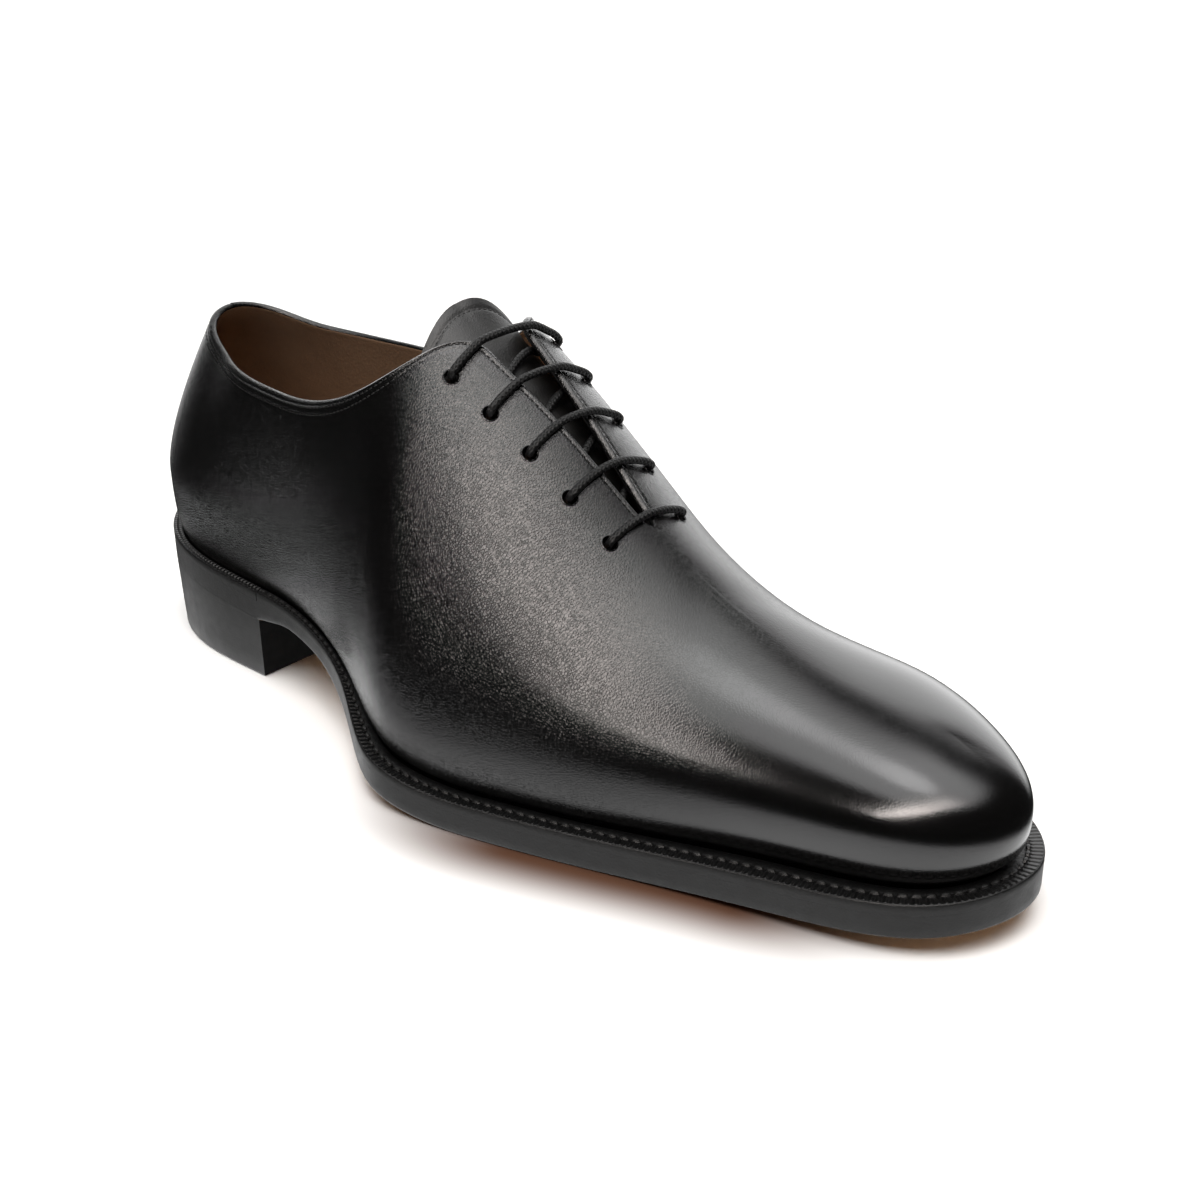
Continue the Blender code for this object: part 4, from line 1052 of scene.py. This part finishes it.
floor_paper = finish(
    "floor_paper", {"Specular IOR Level": 0.0, "Emission Strength": STUDIO_GLOW},
    colour=paper_with_painted_shadow, roughness=uneven(40, 3, 0.1, 0.85), glow=paper_glow,
)
floor_mesh = bmesh.new()
bmesh.ops.create_grid(floor_mesh, x_segments=8, y_segments=8, size=FLOOR_HALF)
stage_piece("studio_floor", floor_mesh, floor_paper)

drum_white = finish(
    "drum_white", {"Specular IOR Level": 0.0, "Emission Strength": STUDIO_GLOW},
    colour=mottled(2, 2, (0.90, 0.90, 0.90), (0.92, 0.92, 0.92)),
    glow=mottled(2, 2, (0.97, 0.97, 0.97), (1.0, 1.0, 1.0)),
)
drum_mesh = bmesh.new()
bmesh.ops.create_cone(
    drum_mesh, cap_ends=True, segments=64, radius1=DRUM_RADIUS, radius2=DRUM_RADIUS, depth=2 * FLOOR_HALF,
)
bmesh.ops.reverse_faces(drum_mesh, faces=drum_mesh.faces[:])
drum = stage_piece("studio_drum", drum_mesh, drum_white)
drum.visible_diffuse = drum.visible_shadow = False

TOP_LIGHT_PLACE, TOP_LIGHT_SIDE, TOP_LIGHT_WATTS = Vector((0.1, -0.2, 2.20)), 2.6, 120.0
top_data = bpy.data.lights.new("top_light", "AREA")
top_data.shape, top_data.size, top_data.size_y = "RECTANGLE", TOP_LIGHT_SIDE, TOP_LIGHT_SIDE
top_data.energy, top_data.color = TOP_LIGHT_WATTS, (1.0, 0.98, 0.96)
top_light = bpy.data.objects.new("top_light", top_data)
facing = (Vector((0, 0.001, 0)) - TOP_LIGHT_PLACE).to_track_quat("-Z", "Y").to_matrix().to_4x4()
top_light.matrix_world = Matrix.Translation(TOP_LIGHT_PLACE) @ facing
top_light.visible_glossy = False
bpy.context.scene.collection.objects.link(top_light)

STRIP_SLANT, STRIP_REAR, STRIP_FRONT = 0.09, (0.17, 0.46), (0.60, 0.80)
STRIP_LATERAL, STRIP_MEDIAL = (-5.2, -3.2), (-0.27, 0.47)
STRIP_DIMMING, STRIP_LEVELS = (-1.2, -0.15), (15.0, 8.0)
CEILING_LEVEL, ZENITH_LEVEL, WALL_LEVEL, PAPER_LEVEL, ROOM_LEVEL = 2.6, 3.5, 1.9, 1.6, 0.02
WALL_HEADING = (-0.574, 0.819, 0.0)


def soft_dome(tree):
    """Colour and level of the dome by heading; along and across are places on its flat ceiling."""
    heading = Wire(tree).node("TexCoord", (), (), output="Generated")
    east, north, up = (heading.axis(name) for name in "XYZ")
    height = up.most(0.08)
    along, across = east / height, north / height
    slant = along - across * STRIP_SLANT
    strip = slant.band(*STRIP_REAR) * slant.band(*STRIP_FRONT, 1.0, 0.0)
    strip = strip * across.band(*STRIP_LATERAL) * across.band(*STRIP_MEDIAL, 1.0, 0.0)
    strip = strip * across.band(*STRIP_DIMMING, *STRIP_LEVELS)
    ceiling = up.band(0.70, 0.875) * (along - across * 0.5).band(-0.66, -0.28) * CEILING_LEVEL
    ceiling = ceiling + up.band(0.965, 0.99) * ZENITH_LEVEL
    facing = {0: heading, 1: WALL_HEADING}
    wall = heading.node("VectorMath", {"operation": "DOT_PRODUCT"}, facing, output="Value").band(0.64, 0.80)
    wall = wall * up.band(-0.35, 0.0) * WALL_LEVEL
    paper = (up - east.band(-0.95, -0.70, 0.11, 0.0)).band(-0.56, -0.46, PAPER_LEVEL, 0.0)
    paper = paper * up.band(-0.92, -0.75, 0.2, 1.0)
    warm = heading.tint(strip * 0.1, (1.0, 1.0, 1.0), (1.0, 0.92, 0.87))
    return warm, strip.most(ceiling).most(wall) + paper + ROOM_LEVEL


world = bpy.data.worlds.new("studio")
world.use_nodes = True
world.cycles_visibility.diffuse = False
bpy.context.scene.world = world
dome = world.node_tree.nodes["Background"]
for part, wire in zip(("Color", "Strength"), soft_dome(world.node_tree)):
    world.node_tree.links.new(wire.socket, dome.inputs[part])

CAMERA_AZIMUTH, CAMERA_ELEVATION, CAMERA_ROLL = (math.radians(d) for d in (40.86, 24.27, -0.45))
CAMERA_EYE = (424.74, -287.76, 217.01)
CAMERA_LENS = 47.67
facing = Matrix.Rotation(CAMERA_AZIMUTH, 4, "Z")
facing = facing @ Matrix.Rotation(math.pi / 2 - CAMERA_ELEVATION, 4, "X")
facing = facing @ Matrix.Rotation(CAMERA_ROLL, 4, "Z")
camera_data = bpy.data.cameras.new("photo_camera")
camera_data.lens, camera_data.sensor_width, camera_data.sensor_fit = CAMERA_LENS, 36.0, "HORIZONTAL"
camera_data.clip_start, camera_data.clip_end = 0.01, 50.0
camera = bpy.data.objects.new("photo_camera", camera_data)
camera.matrix_world = Matrix.Translation(in_metres(CAMERA_EYE)) @ facing
bpy.context.scene.collection.objects.link(camera)
bpy.context.scene.camera = camera
bpy.context.scene.view_settings.view_transform = "Standard"
